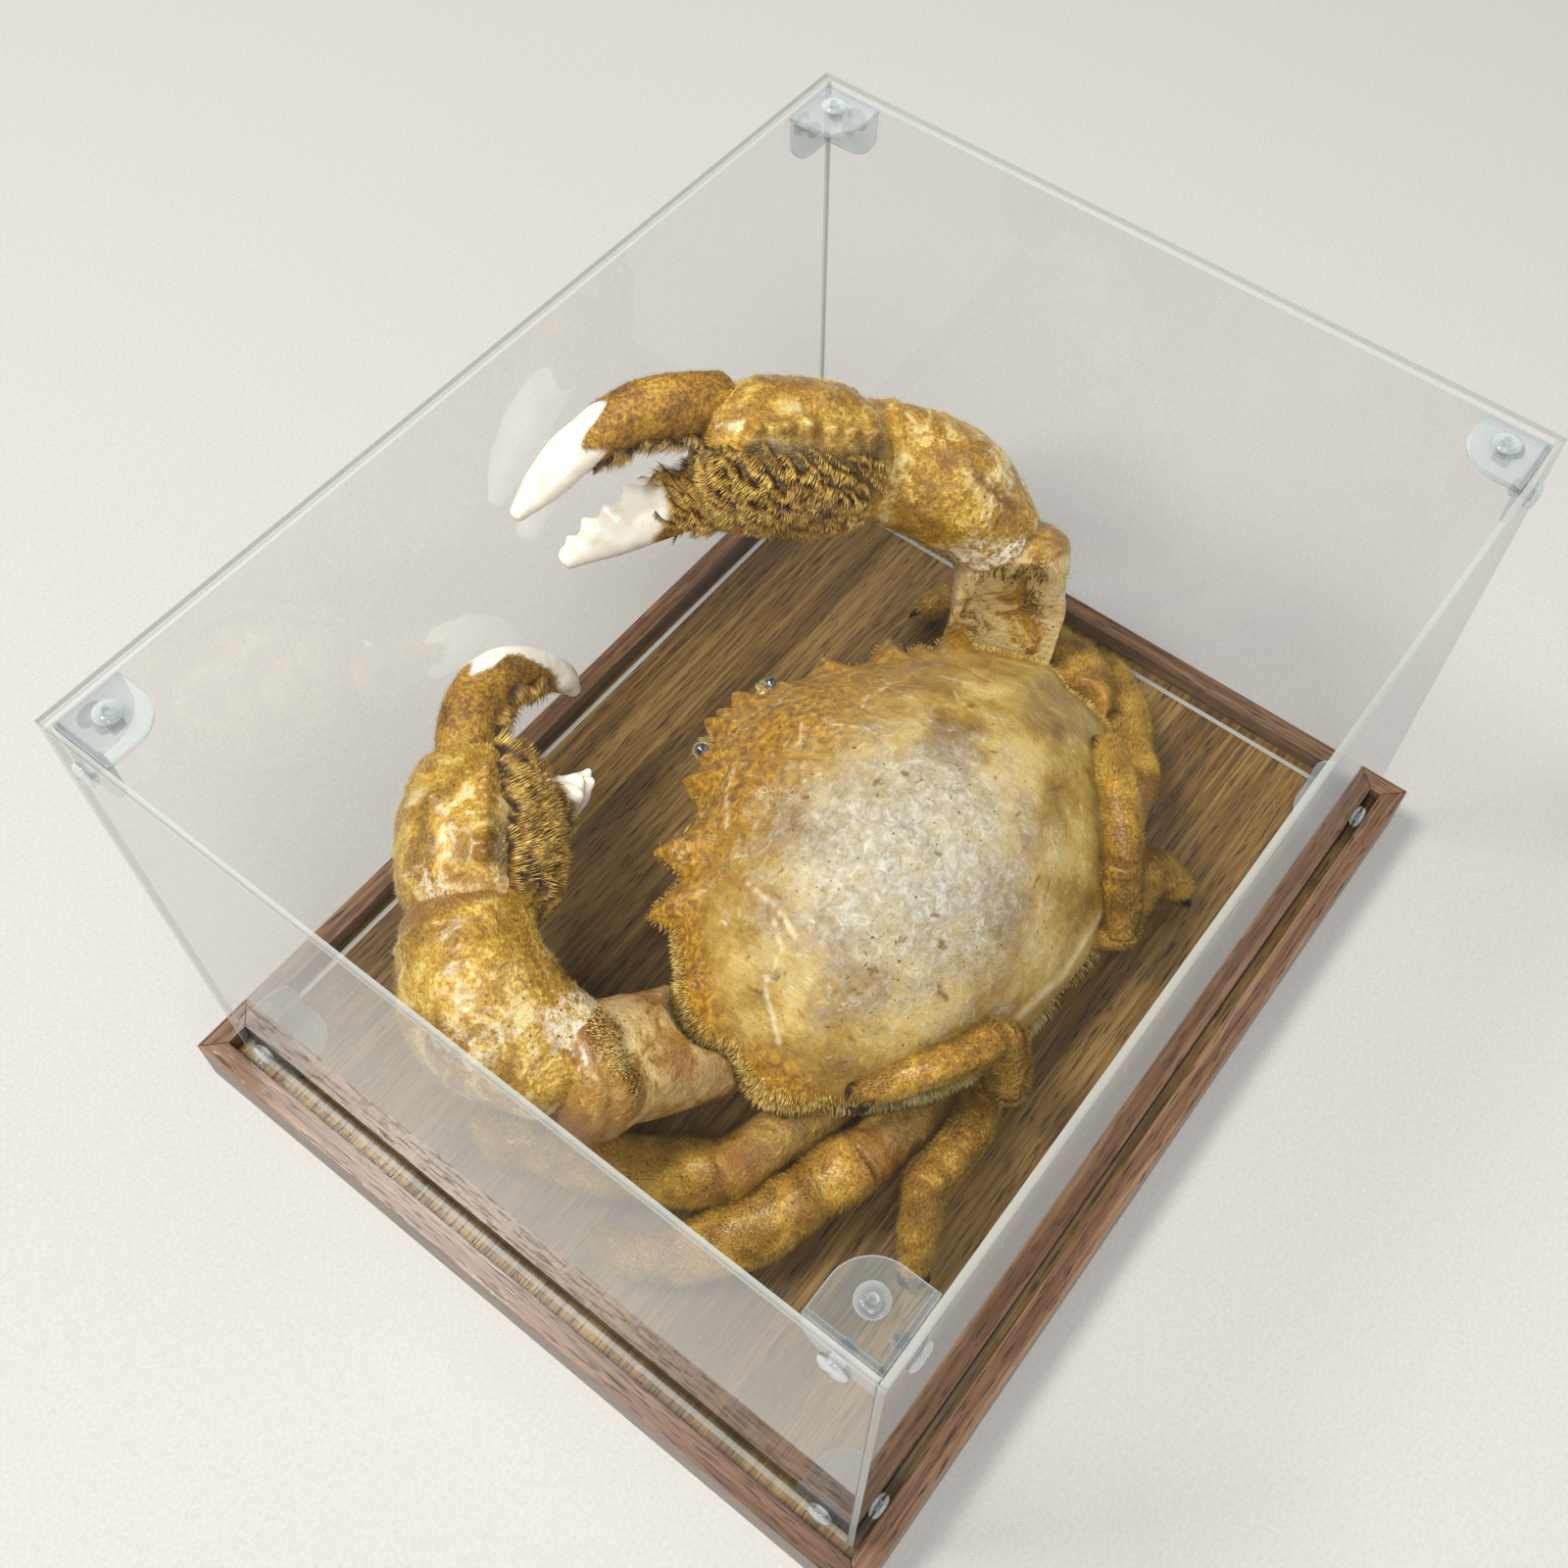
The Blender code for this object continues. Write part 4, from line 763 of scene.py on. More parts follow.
def body_path(points):
    """Points of the body's frame as millimetres from the board's middle."""
    return np.array(points, float) @ BODY_TURN.T + np.array(BODY.translation) / MM - (0, 0, BOARD_TOP)


def mottled(name, scale, detail, stops, **sockets):
    """A finish whose colour wanders softly between a few tones."""
    mat, shader = new_material(name, **sockets)
    cloud = add(mat, "TexNoise", add(mat, "TexCoord", out="Object"), Scale=scale, Detail=detail)
    feed(shader, {"Base Color": add(mat, "ValToRGB", cloud, stops=stops)})
    return mat


def stalk_ends(side):
    """The root and tip of an eye's stalk, in its notch of the shell's front edge."""
    angle = np.array([math.asin(side * EYE_SPAN / 2 / (SHELL_FRONT - 6.0))])
    radius = float(shell_radius(angle)[0]) * 0.995
    height = float(edge_height(angle)[0]) - 2.2
    notch = Vector((side * EYE_SPAN / 2, -radius * math.cos(angle[0]) - 0.6, height))
    tip = notch + Vector((-0.3 * side, -2.2, 2.6))
    return tip + Vector((-side * 3.5, 5.0, -0.6)), tip


# A hard, glossy, nearly black skin with cloudy grey in it, and pale dried skin in blotches.
cornea = mottled("dried_glassy_cornea", 900, 3, [(0.4, "23292c"), (0.65, "4e575a")], Roughness=0.06, IOR=1.5,
                 Coat_Weight=0.8, Coat_Roughness=0.03)
pale_skin = mottled("dried_pale_skin", 700, 4, [(0.38, "6e4f1a"), (0.5, "a5823f"), (0.62, "dcc691")],
                    Roughness=0.4, IOR=1.5)
for name, side in (("left", 1), ("right", -1)):
    root, tip = stalk_ends(side)
    ahead = (tip - root).normalized()
    high = Vector((side * 0.2, 0.9, 1.0))
    path = body_path([tip - ahead * 0.8 + high, tip - ahead * 0.4 + high, tip + high])
    ball, _, _ = tube(path, [EYE_SIZE] * 3, [EYE_SIZE] * 3, 32, 14, caps=(EYE_SIZE * 0.45, EYE_SIZE * 0.5))
    piece_from("eye_ball_" + name, [ball], cornea, "eye_" + name)
    path = body_path([root, root * 0.4 + tip * 0.6, tip * 0.85 + root * 0.15])
    stalk, t, _ = tube(path, [6.0, 6.0, 4.4], [4.4, 4.2, 3.0], 40, 30, caps=(0.8, 1.0))
    stalk = raised(stalk, noise(stalk, 1.3, 61) * 0.4 + noise(stalk, 0.7, 62) * 0.2)
    piece_from("eye_stalk_" + name, [stalk], pale_skin)
    mask = smoothstep(0.2, 0.5, t) * smoothstep(-0.5, 0.2, noise(stalk, 2.0, 63))
    coat("eye_tags_%s_down" % name, stalk, mask + 1e-6, 260, 64, (0.9, 2.0), (0.2, 0.34), rear_down,
         "golden_velvet", (0.75, 0.5))


# The underside: breastplate, tail flap, outer jaws and feelers. The plates are thin pale shell
# with a short yellow-brown down, and the tail flap is folded forward in overlapping plates.


def short_velvet():
    """Down a fraction of a millimetre long over dried shell: matt golden nap with greasy glints."""
    mat, shader = new_material("golden_velvet_down", Roughness=0.4, IOR=1.56, Specular_IOR_Level=0.9,
                               Coat_Weight=0.35, Coat_Roughness=0.3, Specular_Tint=linear("ffeeb4"),
                               Sheen_Tint=linear("f0d890"))
    place = add(mat, "TexCoord", out="Object")
    bare, dusk, tip = [add(mat, "Attribute", out="Fac", attribute_name=name)
                       for name in ("bare", "dusk", "tip")]
    patches = add(mat, "TexNoise", place, Scale=130, Detail=7, Roughness=0.68, Distortion=0.4)
    nap = add(mat, "TexNoise", place, Scale=1300, Detail=4, Roughness=0.75)
    both = add(mat, "Mix", 0.45, None, patches, nap)
    lit = add(mat, "Math", tip, 0.16, both, operation="MULTIPLY_ADD")
    colour = add(mat, "ValToRGB", lit, stops=[(0.39, "563704"), (0.5, "96680a"), (0.63, "dab248")])
    smooth = add(mat, "ValToRGB", both, stops=[(0.36, "58421a"), (0.5, "785a26"), (0.66, "a6864a")])
    colour = layered(mat, colour, (bare, smooth), (dusk, linear("7c4c0e")))
    soft = add(mat, "MapRange", patches, 0.35, 0.65, 0.3, 0.52)
    pebbles = add(mat, "TexNoise", place, Scale=380, Detail=4, Roughness=0.6, Distortion=0.5)
    nubbly = embossed(mat, (patches, 2.0, 0.7), (pebbles, 1.2, 0.75), (nap, 0.6, 0.75))
    feed(shader, {"Base Color": colour, "Roughness": soft, "Normal": nubbly})
    return mat


velvet_mat = short_velvet()


def oval_rows(rows, sides, power):
    """A closed form of flat ovals in the body's frame: half width, front, rear and height of each."""
    angle = np.linspace(0, 2 * math.pi, sides, endpoint=False)
    c, s = np.cos(angle), np.sin(angle)
    made = []
    for half, front, rear, w in rows:
        u = np.sign(s) * np.abs(s) ** (2 / power) * half
        v = -np.sign(c) * np.abs(c) ** (2 / power) * np.where(c > 0, front, rear)
        made.append(np.stack([u, v, np.full_like(u, w)], -1))
    return in_body(np.array(made))


plate = oval_rows([(40 * f, 36 * f, 40 * f, w) for f, w in (
                   (0.96, -8.6), (1.0, -9.6), (1.0, -11.5), (0.97, -14.5),
                   (0.9, -18), (0.83, -20.4), (0.74, -21.4), (0.3, -21.5), (0.02, -21.5))], 120, 2.4)
plate = raised(plate, noise(plate, 9, 11) * 0.5 + noise(plate, 3, 12) * 0.15)


PRESSED_FROM = 3
KEPT_THICKNESS = 0.4


def pressed(form):
    """Press a limb down where it passes under the shell's edge, and keep two fifths of its thickness there."""
    local = (form - np.array(BODY.translation)) @ BODY_TURN / MM
    angle = np.arctan2(local[..., 0], -local[..., 1])
    share = np.linalg.norm(local[..., :2], axis=-1) / (shell_radius(angle) + edge_bulge(angle))
    under = edge_height(angle) * smoothstep(0.74, 0.86, share)
    roof = np.interp(share, [0.0, 0.78, 0.86, 0.92, 0.96, 1.0, 1.03, 1.06, 1.1, 1.15],
                     [-9.8, -8.9, -7.0, -5.4, -4.2, -3.0, 0.5, 7.0, 18.0, 70.0]) + under
    high = local[..., 2]
    over = high - roof
    bend = 1 - np.exp(-(np.maximum(over, -PRESSED_FROM) + PRESSED_FROM) / PRESSED_FROM)
    top = np.where(over > -PRESSED_FROM, roof - PRESSED_FROM + PRESSED_FROM * bend, high)
    across = -np.arange(form.shape[1]) % form.shape[1]
    thick = high[:, across] - high
    local[..., 2] = np.where(thick > 0, np.minimum(top, top[:, across] - KEPT_THICKNESS * thick), top)
    return in_body(local)


STUBS = (((14, 37, 15), (27, 40, 15), 11), ((10, 47, 12.5), (24, 54, 12.5), 11),
         ((-40, 31, 14), (-52, 32, 14.5), 11), ((-33, 49, 13), (-45, 53, 13), 11),
         ((6, 47, 9), (22, 64, 14.5), 8.5), ((-24, 47, 9), (-34, 62, 14), 8.5),
         ((4, 46, 9), (20, 70, 24.5), 8.5), ((-22, 46, 9), (-33.5, 69, 24), 8.5),
         ((-36, 10, 15), (-52, 9, 17), 14.5), ((15, 13, 14), (34, 11.5, 17), 14.5))
stubs = []
for start, end, size in STUBS:
    form, _, _ = tube([start, np.add(start, end) / 2, end], [size] * 3, [size] * 3, 40, 16, caps=(1, 1.2),
                      shape=lambda t, a: 0.93 + 0.09 * np.exp(-((t - 0.9) / 0.09) ** 2))
    stubs.append(raised(form, noise(form, 4, 13) * 0.25))
thorax = piece_from("thorax_shell", [plate] + stubs, velvet_mat, "thorax")
mark(thorax, "bare", np.full(len(thorax.data.vertices), 0.55))

flap_path = body_path([(0, 31, -23.6), (0, 5, -23.6), (0, -20, -23.6)])


def flap_shape(t, angle):
    """Six overlapping plates: each swells towards its rear edge, then steps in."""
    step = (t * 6) % 1.0
    return 0.93 + 0.07 * smoothstep(0.0, 0.85, step) - 0.05 * smoothstep(0.88, 1.0, step)


flap, _, _ = tube(flap_path, [34, 30, 12], [3.6, 3.6, 2.9], 72, 96, power=2.8, caps=(0.8, 1.0),
                  shape=flap_shape, up=tuple(BODY_TURN @ (0, 0, 1)))
abdomen = piece_from("abdomen_plates", [flap], velvet_mat, "abdomen")
mark(abdomen, "bare", np.full(len(abdomen.data.vertices), 0.4))

jaw_up = tuple(BODY_TURN @ (0, -1, -0.4))
for name, side in (("left", 1), ("right", -1)):
    path = body_path([(side * 6.3, -38.4, -11.8), (side * 6.3, -38.0, -16.5), (side * 6.0, -32.6, -21.4)])
    jaw, _, _ = tube(path, [8, 11, 7], [4.0, 4.5, 3.5], 48, 40, power=2.6, up=jaw_up,
                     shape=lambda t, a: 1 - 0.08 * np.exp(-((t - 0.55) / 0.03) ** 2))
    jaw = raised(jaw, noise(jaw, 2.5, 15) * 0.2)
    piece_from("maxilliped_plate_" + name, [jaw], velvet_mat, "maxilliped_" + name)
    coat("maxilliped_down_" + name, jaw, np.ones(jaw.shape[:2]), 900, 31, (0.8, 1.6), (0.16, 0.24), velvet_mat,
         "golden_velvet", (0.6, 0.3))
    path = body_path([(side * 14.5, -36.6, -12.5), (side * 18, -42.0, -11.5), (side * 24, -46.0, -11.5),
                      (side * 30, -46.0, -13.5)])
    size = [3.0, 1.9, 1.1, 0.7]
    feeler, _, _ = tube(path, size, size, 20, 120, caps=(0.5, 0.3),
                        shape=lambda t, a: 1 - 0.1 * (np.abs((t * 22) % 1 - 0.5) > 0.42))
    piece_from("antenna_ringed_" + name, [feeler], velvet_mat, "antenna_" + name)


# The walking legs and the small folded legs: velvety tubes of shell that meet at tight hinges,
# with worn orange-brown knees, and small black horny claws at their ends.

# Near black, smooth and semi-gloss horn, browner in places.
horn_mat = mottled("black_horny_claw", 500, 3, [(0.4, "120d09"), (0.7, "3a2314")], Roughness=0.25, IOR=1.55)


def hook_form(root, bend, tip, size):
    sizes = [size, size * 0.8, size * 0.12]
    form, _, _ = tube([root, bend, tip], sizes, sizes, 20, 18, caps=(0.2, 0.1))
    return form


def hinge_shape(proximal, distal, spread=0.13):
    """A narrower neck at the near end, and a slight rim just before the far end."""
    def shape(t, angle):
        neck = 1 - 0.26 * (1 - smoothstep(0.0, spread, t)) * proximal
        rim = 0.07 * np.exp(-((t - 0.93) / 0.045) ** 2) * distal
        return neck + rim
    return shape


def segment(name, start, end, sizes, bow, look, last=False):
    """One limb segment with its nap of short hairs, in place of its CAD node."""
    start, end, bow = (np.array(p, float) for p in (start, end, bow))
    span = end - start
    length = np.linalg.norm(span)
    way = span / length
    widths, heights = sizes
    near = start - way * min(1.6, widths[0] * 0.14)
    far = end if last else end + way * widths[-1] * 0.1
    path = [near, start + span * 0.5 + bow, far]
    seed = sum(ord(letter) for letter in name)
    form, t, _ = tube(path, widths, heights, 48, 56, caps=(0.8, widths[-1] * (0.42 if last else 0.16)),
                      shape=hinge_shape(1.0, 0 if last else 1))
    lumps = noise(form, 7, seed) * 0.45 + noise(form, 2.6, seed + 1) * 0.22 + noise(form, 1.1, seed + 2) * 0.1
    form = raised(form, lumps)
    if look["pressed"]:
        form = pressed(form)
    piece = piece_from(name + "_shell", [form], velvet_mat, name)
    wear = noise(form, 6, seed + 5)
    bare = np.clip(look["bare"] + wear * 0.25 * (look["bare"] > 0), 0, 1)
    bare = bare * smoothstep(0.04, 0.2, t) * smoothstep(1.0, 0.8, t)
    ends = smoothstep(0.72, 0.98, t) * look["dusk_far"] + smoothstep(0.3, 0.05, t) * look["dusk_near"]
    dusk = 0.8 * ends * (0.6 + 0.4 * smoothstep(-0.3, 0.5, wear))
    dusk = np.clip(dusk + 0.4 * smoothstep(0.1, 0.6, noise(form, 5, seed + 7)) * (1 - bare), 0, 1)
    mark(piece, "bare", bare)
    mark(piece, "dusk", dusk)
    count = int(look["hairs"] * length * sum(widths) / 3 / 150)
    coat(name + "_down", form, 1 - 0.93 * bare, count, seed, look["length"], (0.16, 0.26), velvet_mat,
         look["slot"], (0.68, 0.5), bends=0, marks={"bare": bare, "dusk": dusk})

NAP = {"slot": "golden_velvet", "bare": 0.0, "dusk_far": 0.0, "dusk_near": 0.0, "hairs": 3600,
       "length": (1.2, 2.5), "pressed": False}
MERUS_LOOK = dict(NAP, slot="pale_underside", bare=0.8, dusk_far=1.0, hairs=1300, length=(0.6, 1.3),
                  pressed=True)
KNEE_LOOK = dict(NAP, dusk_far=0.3, dusk_near=0.9)
WALKING_LEGS = {
    "leg2_left": ([(27, 40, 15), (79.0, 27.0, 21.5), (89.0, 8.5, 15), (98.5, -15.9, 10), (103.7, -32.5, 5.4)],
                  (2.0, 0, 1.5), (103, -38.3, 0.7), 1.1),
    "leg3_left": ([(24, 54, 12.5), (56, 51.5, 21.5), (68, 46, 19.5), (99.5, 27.8, 9), (106.4, 10.5, 5.2)],
                  (2.5, 0, 1.5), (105.6, 4.3, 0.7), 1.18),
    "leg2_right": ([(-52, 32, 14.5), (-91.5, 21, 26), (-100, 11, 22.5), (-107, -27, 12.5),
                    (-99.5, -38.5, 8.8)], (-1.5, 0, 1.0), (-94.8, -42.3, 6), 1.0),
    "leg3_right": ([(-45, 53, 13), (-76, 46, 20), (-85, 39.5, 18), (-104, 27, 12), (-115.5, 12.5, 6)],
                   (-1.5, 0, 1.0), (-116.5, 6.5, 0.7), 1.0),
}
for name, (joints, bow, tip, stout) in WALKING_LEGS.items():
    sizes = [([11.5, 14.7, 14.2], [11.5, 13.2, 13.2]), ([13.6, 15.3, 13.2], [13.6, 14.8, 12.6]),
             ([12.7, 13.8 * stout, 11.2], [11.7, 12.8 * stout, 10.7]), ([10.7, 9.7, 7.2], [10.2, 9.2, 6.7])]
    bows = [(0, 0, 0), (0, 0, 0), (0, (stout - 1) * 12, 0), bow]
    looks = [MERUS_LOOK, KNEE_LOOK, dict(NAP, dusk_near=0.35), NAP]
    for n, part in enumerate(("merus", "carpus", "propodus", "dactylus")):
        segment(name + "_" + part, joints[n], joints[n + 1], sizes[n], bows[n], looks[n], last=n == 3)
    end, tip = np.array(joints[-1], float), np.array(tip, float)
    reach = (tip - end) * 0.6 + (0, 0, 1.2)
    hook = hook_form(end - reach * 0.5, end + reach, tip, 3.0)
    piece_from(name + "_claw", [hook], horn_mat)

SMALL_LEGS = {
    "leg4_left": ([(22, 64, 14.5), (52, 67, 22.5), (66, 74.5, 9.5)], (0, 2, 1), (0, 0, 0), (69.5, 77.5, 5)),
    "leg4_right": ([(-34, 62, 14), (-58, 63.5, 20.5), (-63, 72, 9.5)], (0, 2, 0), (0, 0, 0), (-65.5, 75.5, 4)),
    "leg5_left": ([(20, 70, 24.5), (16.5, 63.5, 41), (47, 45.5, 39)], (0, 0, 0), (2.0, 0.5, 4.0),
                  (51.5, 42.5, 35)),
    "leg5_right": ([(-33.5, 69, 24), (-41, 61.5, 41), (-65.5, 40.5, 48)], (0, 0, 0), (1.5, 1.0, 5.5),
                   (-70, 37, 45)),
}
for name, (joints, bow, foot_bow, tip) in SMALL_LEGS.items():
    sizes = [([8.5, 9.8, 9.4], [8.5, 9.3, 9.4]), ([9.3, 8.8, 6.3], [8.8, 8.3, 6.3])]
    segment(name + "_merus", joints[0], joints[1], sizes[0], bow,
            dict(NAP, dusk_far=0.6, bare=0.2, pressed=name.startswith("leg4")))
    segment(name + "_foot", joints[1], joints[2], sizes[1], foot_bow, dict(NAP, dusk_near=0.5), last=True)
    end, tip = np.array(joints[-1], float), np.array(tip, float)
    reach = tip - end
    side = np.cross(reach, (0, 0, 1))
    side = side / np.linalg.norm(side) * 2.0
    hooks = [hook_form(end - reach * 0.3 + side * s * 0.7, end + reach * 0.6 + side * s * 1.5,
                       tip + side * s * 0.4, 2.8) for s in (-1, 1)]
    piece_from(name + "_claw", hooks, horn_mat)

# The great claws: upper arm and wrist in worn golden shell, a swollen palm with its inner face
# under dark matted hair, the skin beneath painted near black as shade, and two smooth ivory fingers
# that are velvety only at their roots.
PALM_SIZES = ([27, 37, 37, 30], [25, 36, 40, 35])
FIXED_SIZES = ([19, 16, 12, 6], [19, 15, 12, 6])
THUMB_SIZES = ([14, 15, 13, 10, 4.5], [16, 17, 14, 10, 4.5])


def worn_velvet():
    """Golden down rubbed off in flakes, with the pale tan shell and its white bloom showing between; under the
    matted hair the skin is painted near black, a painted shade.
    """
    mat, shader = new_material("worn_golden_down", Roughness=0.38, IOR=1.56, Specular_IOR_Level=0.9,
                               Coat_Weight=0.5, Coat_Roughness=0.27, Specular_Tint=linear("ffeeb4"))
    painted_shade_under_hair = add(mat, "Attribute", out="Fac", attribute_name="painted_shade_under_hair")
    place = add(mat, "TexCoord", out="Object")
    bare, dusk, tip = [add(mat, "Attribute", out="Fac", attribute_name=name)
                       for name in ("bare", "dusk", "tip")]
    patches = add(mat, "TexNoise", place, Scale=95, Detail=8, Roughness=0.68, Distortion=0.8)
    nap = add(mat, "TexNoise", place, Scale=900, Detail=4, Roughness=0.75)
    both = add(mat, "Mix", 0.4, None, patches, nap)
    lit = add(mat, "Math", tip, 0.2, both, operation="MULTIPLY_ADD")
    down = add(mat, "ValToRGB", lit, stops=[(0.38, "603f06"), (0.5, "a07411"), (0.62, "e0c458")])
    shell_tone = add(mat, "ValToRGB", both, stops=[(0.34, "b09458"), (0.5, "cdb477"), (0.66, "e4d09c")])
    ragged = add(mat, "Math", patches, 6.0, -3.3, operation="MULTIPLY_ADD")
    rubbed = add(mat, "Math", bare, ragged, operation="ADD")
    share = add(mat, "MapRange", rubbed, 0.3, 0.85)
    bloom = add(mat, "Attribute", out="Fac", attribute_name="bloom")
    crust = add(mat, "TexNoise", place, Scale=420, Detail=8, Roughness=0.72, Distortion=0.4)
    broken = add(mat, "Math", crust, 7.0, -3.45, operation="MULTIPLY_ADD")
    dusted = add(mat, "Math", bloom, broken, operation="ADD")
    dust = add(mat, "MapRange", dusted, 0.4, 1.1)
    shown_dust = add(mat, "Math", dust, bloom, operation="MULTIPLY", use_clamp=True)
    pits = speckled(mat, place, 2.6, 0.33, 5)
    # Where the matted hair lies, the skin beneath is painted near black: a painted shade under the hair.
    colour = layered(mat, down, (share, shell_tone), (dusk, linear("7a4a1c")), (painted_shade_under_hair, linear("3a2404")),
                     (shown_dust, linear("efe6d2")), (pits, linear("4a3210")))
    feed(shader, {"Base Color": colour})
    pebbles = add(mat, "TexNoise", place, Scale=330, Detail=4, Roughness=0.6, Distortion=0.5)
    feed(shader, {"Normal": embossed(mat, (patches, 1.6, 0.6), (pebbles, 1.2, 0.75), (nap, 0.6, 0.7))})
    return mat


def ivory_finger():
    """Smooth hard finger: warm white, faintly stained, with the velvet of the palm creeping on to its root."""
    mat, shader = new_material("ivory_finger_shell", Roughness=0.32, IOR=1.53, Subsurface_Weight=0.15,
                               Subsurface_Radius=(0.002, 0.0014, 0.0008), Subsurface_Scale=1.0)
    place = add(mat, "TexCoord", out="Object")
    cover = add(mat, "Attribute", out="Fac", attribute_name="cover")
    stain = add(mat, "TexNoise", place, Scale=130, Detail=6, Roughness=0.65)
    nap = add(mat, "TexNoise", place, Scale=900, Detail=4, Roughness=0.75)
    white = add(mat, "ValToRGB", stain, stops=[(0.3, "d8c9a6"), (0.45, "f3ecda"), (0.6, "fbf8f0")])
    both = add(mat, "Mix", 0.5, None, stain, nap)
    down = add(mat, "ValToRGB", both, stops=[(0.42, "5c3c05"), (0.5, "8c610c"), (0.6, "bf9632")])
    shown = layered(mat, white, (cover, down))
    feed(shader, {"Base Color": shown})
    rough = add(mat, "MapRange", cover, 0, 1, 0.3, 0.6)
    feed(shader, {"Roughness": rough})
    height = add(mat, "Math", nap, cover, operation="MULTIPLY")
    feed(shader, {"Normal": embossed(mat, (height, 0.5, 0.8), (stain, 0.4, 0.3))})
    return mat


worn_mat = worn_velvet()
ivory_mat = ivory_finger()
mat_hair = golden_hair("dried_matted_hair", "3c2603", "a07314", "f4d270", 0.36, (0.56, 0.72, 0.92))


def claw_form(path, sizes, sides, rows, seed, caps, shape, knobs):
    """A claw segment with the lumps, tubercles and ridges of its surface raised on it."""
    form, t, a = tube(path, *sizes, sides, rows, caps=caps, shape=shape)
    rise = noise(form, 11, seed) * 0.8 + noise(form, 4.5, seed + 1) * 0.4 + noise(form, 1.8, seed + 2) * 0.16
    for at_t, at_angle, radius, height in knobs:
        turn = np.degrees(np.abs(wrapped(a, math.radians(at_angle))))
        length = np.linalg.norm(np.array(path[-1], float) - np.array(path[0], float))
        girth = (max(sizes[0]) + max(sizes[1])) / 2 * math.pi / 360
        gap = np.hypot((t - at_t) * length, turn * girth)
        rise = rise + height * np.exp(-(gap / radius) ** 2)
    return raised(form, rise), t, a


def dress_claw(name, form, bare, dusk, bloom, hairs, seed, node=None, length=(0.7, 1.5), painted_shade_under_hair=None):
    """The worn velvet piece of a claw with its short hairs."""
    piece = piece_from(name + "_shell", [form], worn_mat, node)
    mark(piece, "bare", bare)
    mark(piece, "dusk", dusk)
    mark(piece, "bloom", bloom)
    if painted_shade_under_hair is not None:
        mark(piece, "painted_shade_under_hair", painted_shade_under_hair)
    coat(name + "_down", form, np.clip(1 - bare * 0.97, 0.004, 1), hairs, seed, length, (0.18, 0.28), worn_mat,
         "golden_velvet", (0.5, 0.3), bends=0, marks={"bare": np.minimum(bare, 1), "dusk": dusk})


def turn_mask(a, low, high, soft=14):
    """1 between two angles round a form, falling off softly outside them."""
    middle, half = math.radians((low + high) / 2), (high - low) / 2
    off = np.degrees(np.abs(wrapped(a, middle)))
    return smoothstep(half + soft, half - soft * 0.2, off)


COMB_TEETH = 18
COMB_SPACING = 0.4


def laid_at(form, rows, sides):
    """Places on a form at given parts of rows and sides: point, normal, way along the form, map place."""
    count_rows, count_sides = form.shape[:2]
    i = np.clip(rows.astype(int), 0, count_rows - 2)
    k = np.floor(sides).astype(int) % count_sides
    n = (k + 1) % count_sides
    a, b = (rows - i)[:, None], (sides - np.floor(sides))[:, None]
    point = (form[i, k] * (1 - a) * (1 - b) + form[i, n] * (1 - a) * b + form[i + 1, k] * a * (1 - b)
             + form[i + 1, n] * a * b)
    out = outward(form)[i, k]
    way = form[i + 1, k] - form[i, k]
    way = way - out * (way * out).sum(-1, keepdims=True)
    way /= np.maximum(np.linalg.norm(way, axis=-1, keepdims=True), 1e-12)
    return point, out, way, np.stack([(k + b[:, 0]) / count_sides, rows / count_rows], -1)


def comb_rows(form, t_span, turns, girth, length, gap, chance):
    """Staggered places for combs of hair: rows that run along a form, one below the other."""
    caps, count_sides = 5, form.shape[1]
    span_rows = form.shape[0] - 2 * caps - 1
    wide = COMB_TEETH * COMB_SPACING * 0.86
    across = int((turns[1] - turns[0]) / 360 * girth / gap)
    along = max(int((t_span[1] - t_span[0]) * length / wide), 1)
    r, c = np.meshgrid(np.arange(across), np.arange(along), indexing="ij")
    r, c = r.ravel().astype(float), c.ravel().astype(float)
    c = c + (r * 0.37) % 1.0 + chance.uniform(-0.25, 0.25, len(c))
    r = r + chance.uniform(-0.3, 0.3, len(r))
    t = np.clip(t_span[0] + (t_span[1] - t_span[0]) * c / along, 0, 1)
    turn = turns[0] + (turns[1] - turns[0]) * (r + 0.5) / across
    return caps + t * span_rows, (turn % 360) / 360 * count_sides, t


def comb_of_hair(name, roots, outs, lies, patches, lengths, chance):
    """Matted locks: each a short row of stuck-together hairs, a little fanned, their tips free and pale."""
    count = len(roots)
    off = np.tile(np.arange(COMB_TEETH) - (COMB_TEETH - 1) / 2, count)[:, None]
    side = np.repeat(np.cross(lies, outs), COMB_TEETH, 0)
    outs, lies = np.repeat(outs, COMB_TEETH, 0), np.repeat(lies, COMB_TEETH, 0)
    phase = np.repeat(chance.uniform(0, 6.3, count), COMB_TEETH)[:, None]
    wave = off * 0.24 + phase
    roots = np.repeat(roots, COMB_TEETH, 0) + (side * off * COMB_SPACING + lies * np.sin(wave) * 0.6) * MM
    lies = lies + side * (off * 0.008 + np.cos(wave) * 0.16 + chance.normal(0, 0.09, off.shape))
    lies /= np.linalg.norm(lies, axis=-1, keepdims=True)
    arch = 1 - 0.0035 * np.abs(off[:, 0]) ** 2
    lengths = np.repeat(lengths, COMB_TEETH) * arch * chance.uniform(0.7, 1.18, len(off))
    tufts(name, roots, outs, lies, np.repeat(patches, COMB_TEETH, 0), lengths,
          chance.uniform(0.3, 0.4, len(off)), mat_hair, lift=(0.66, 0.3), flat_ratio=0.35,
          bends=2)


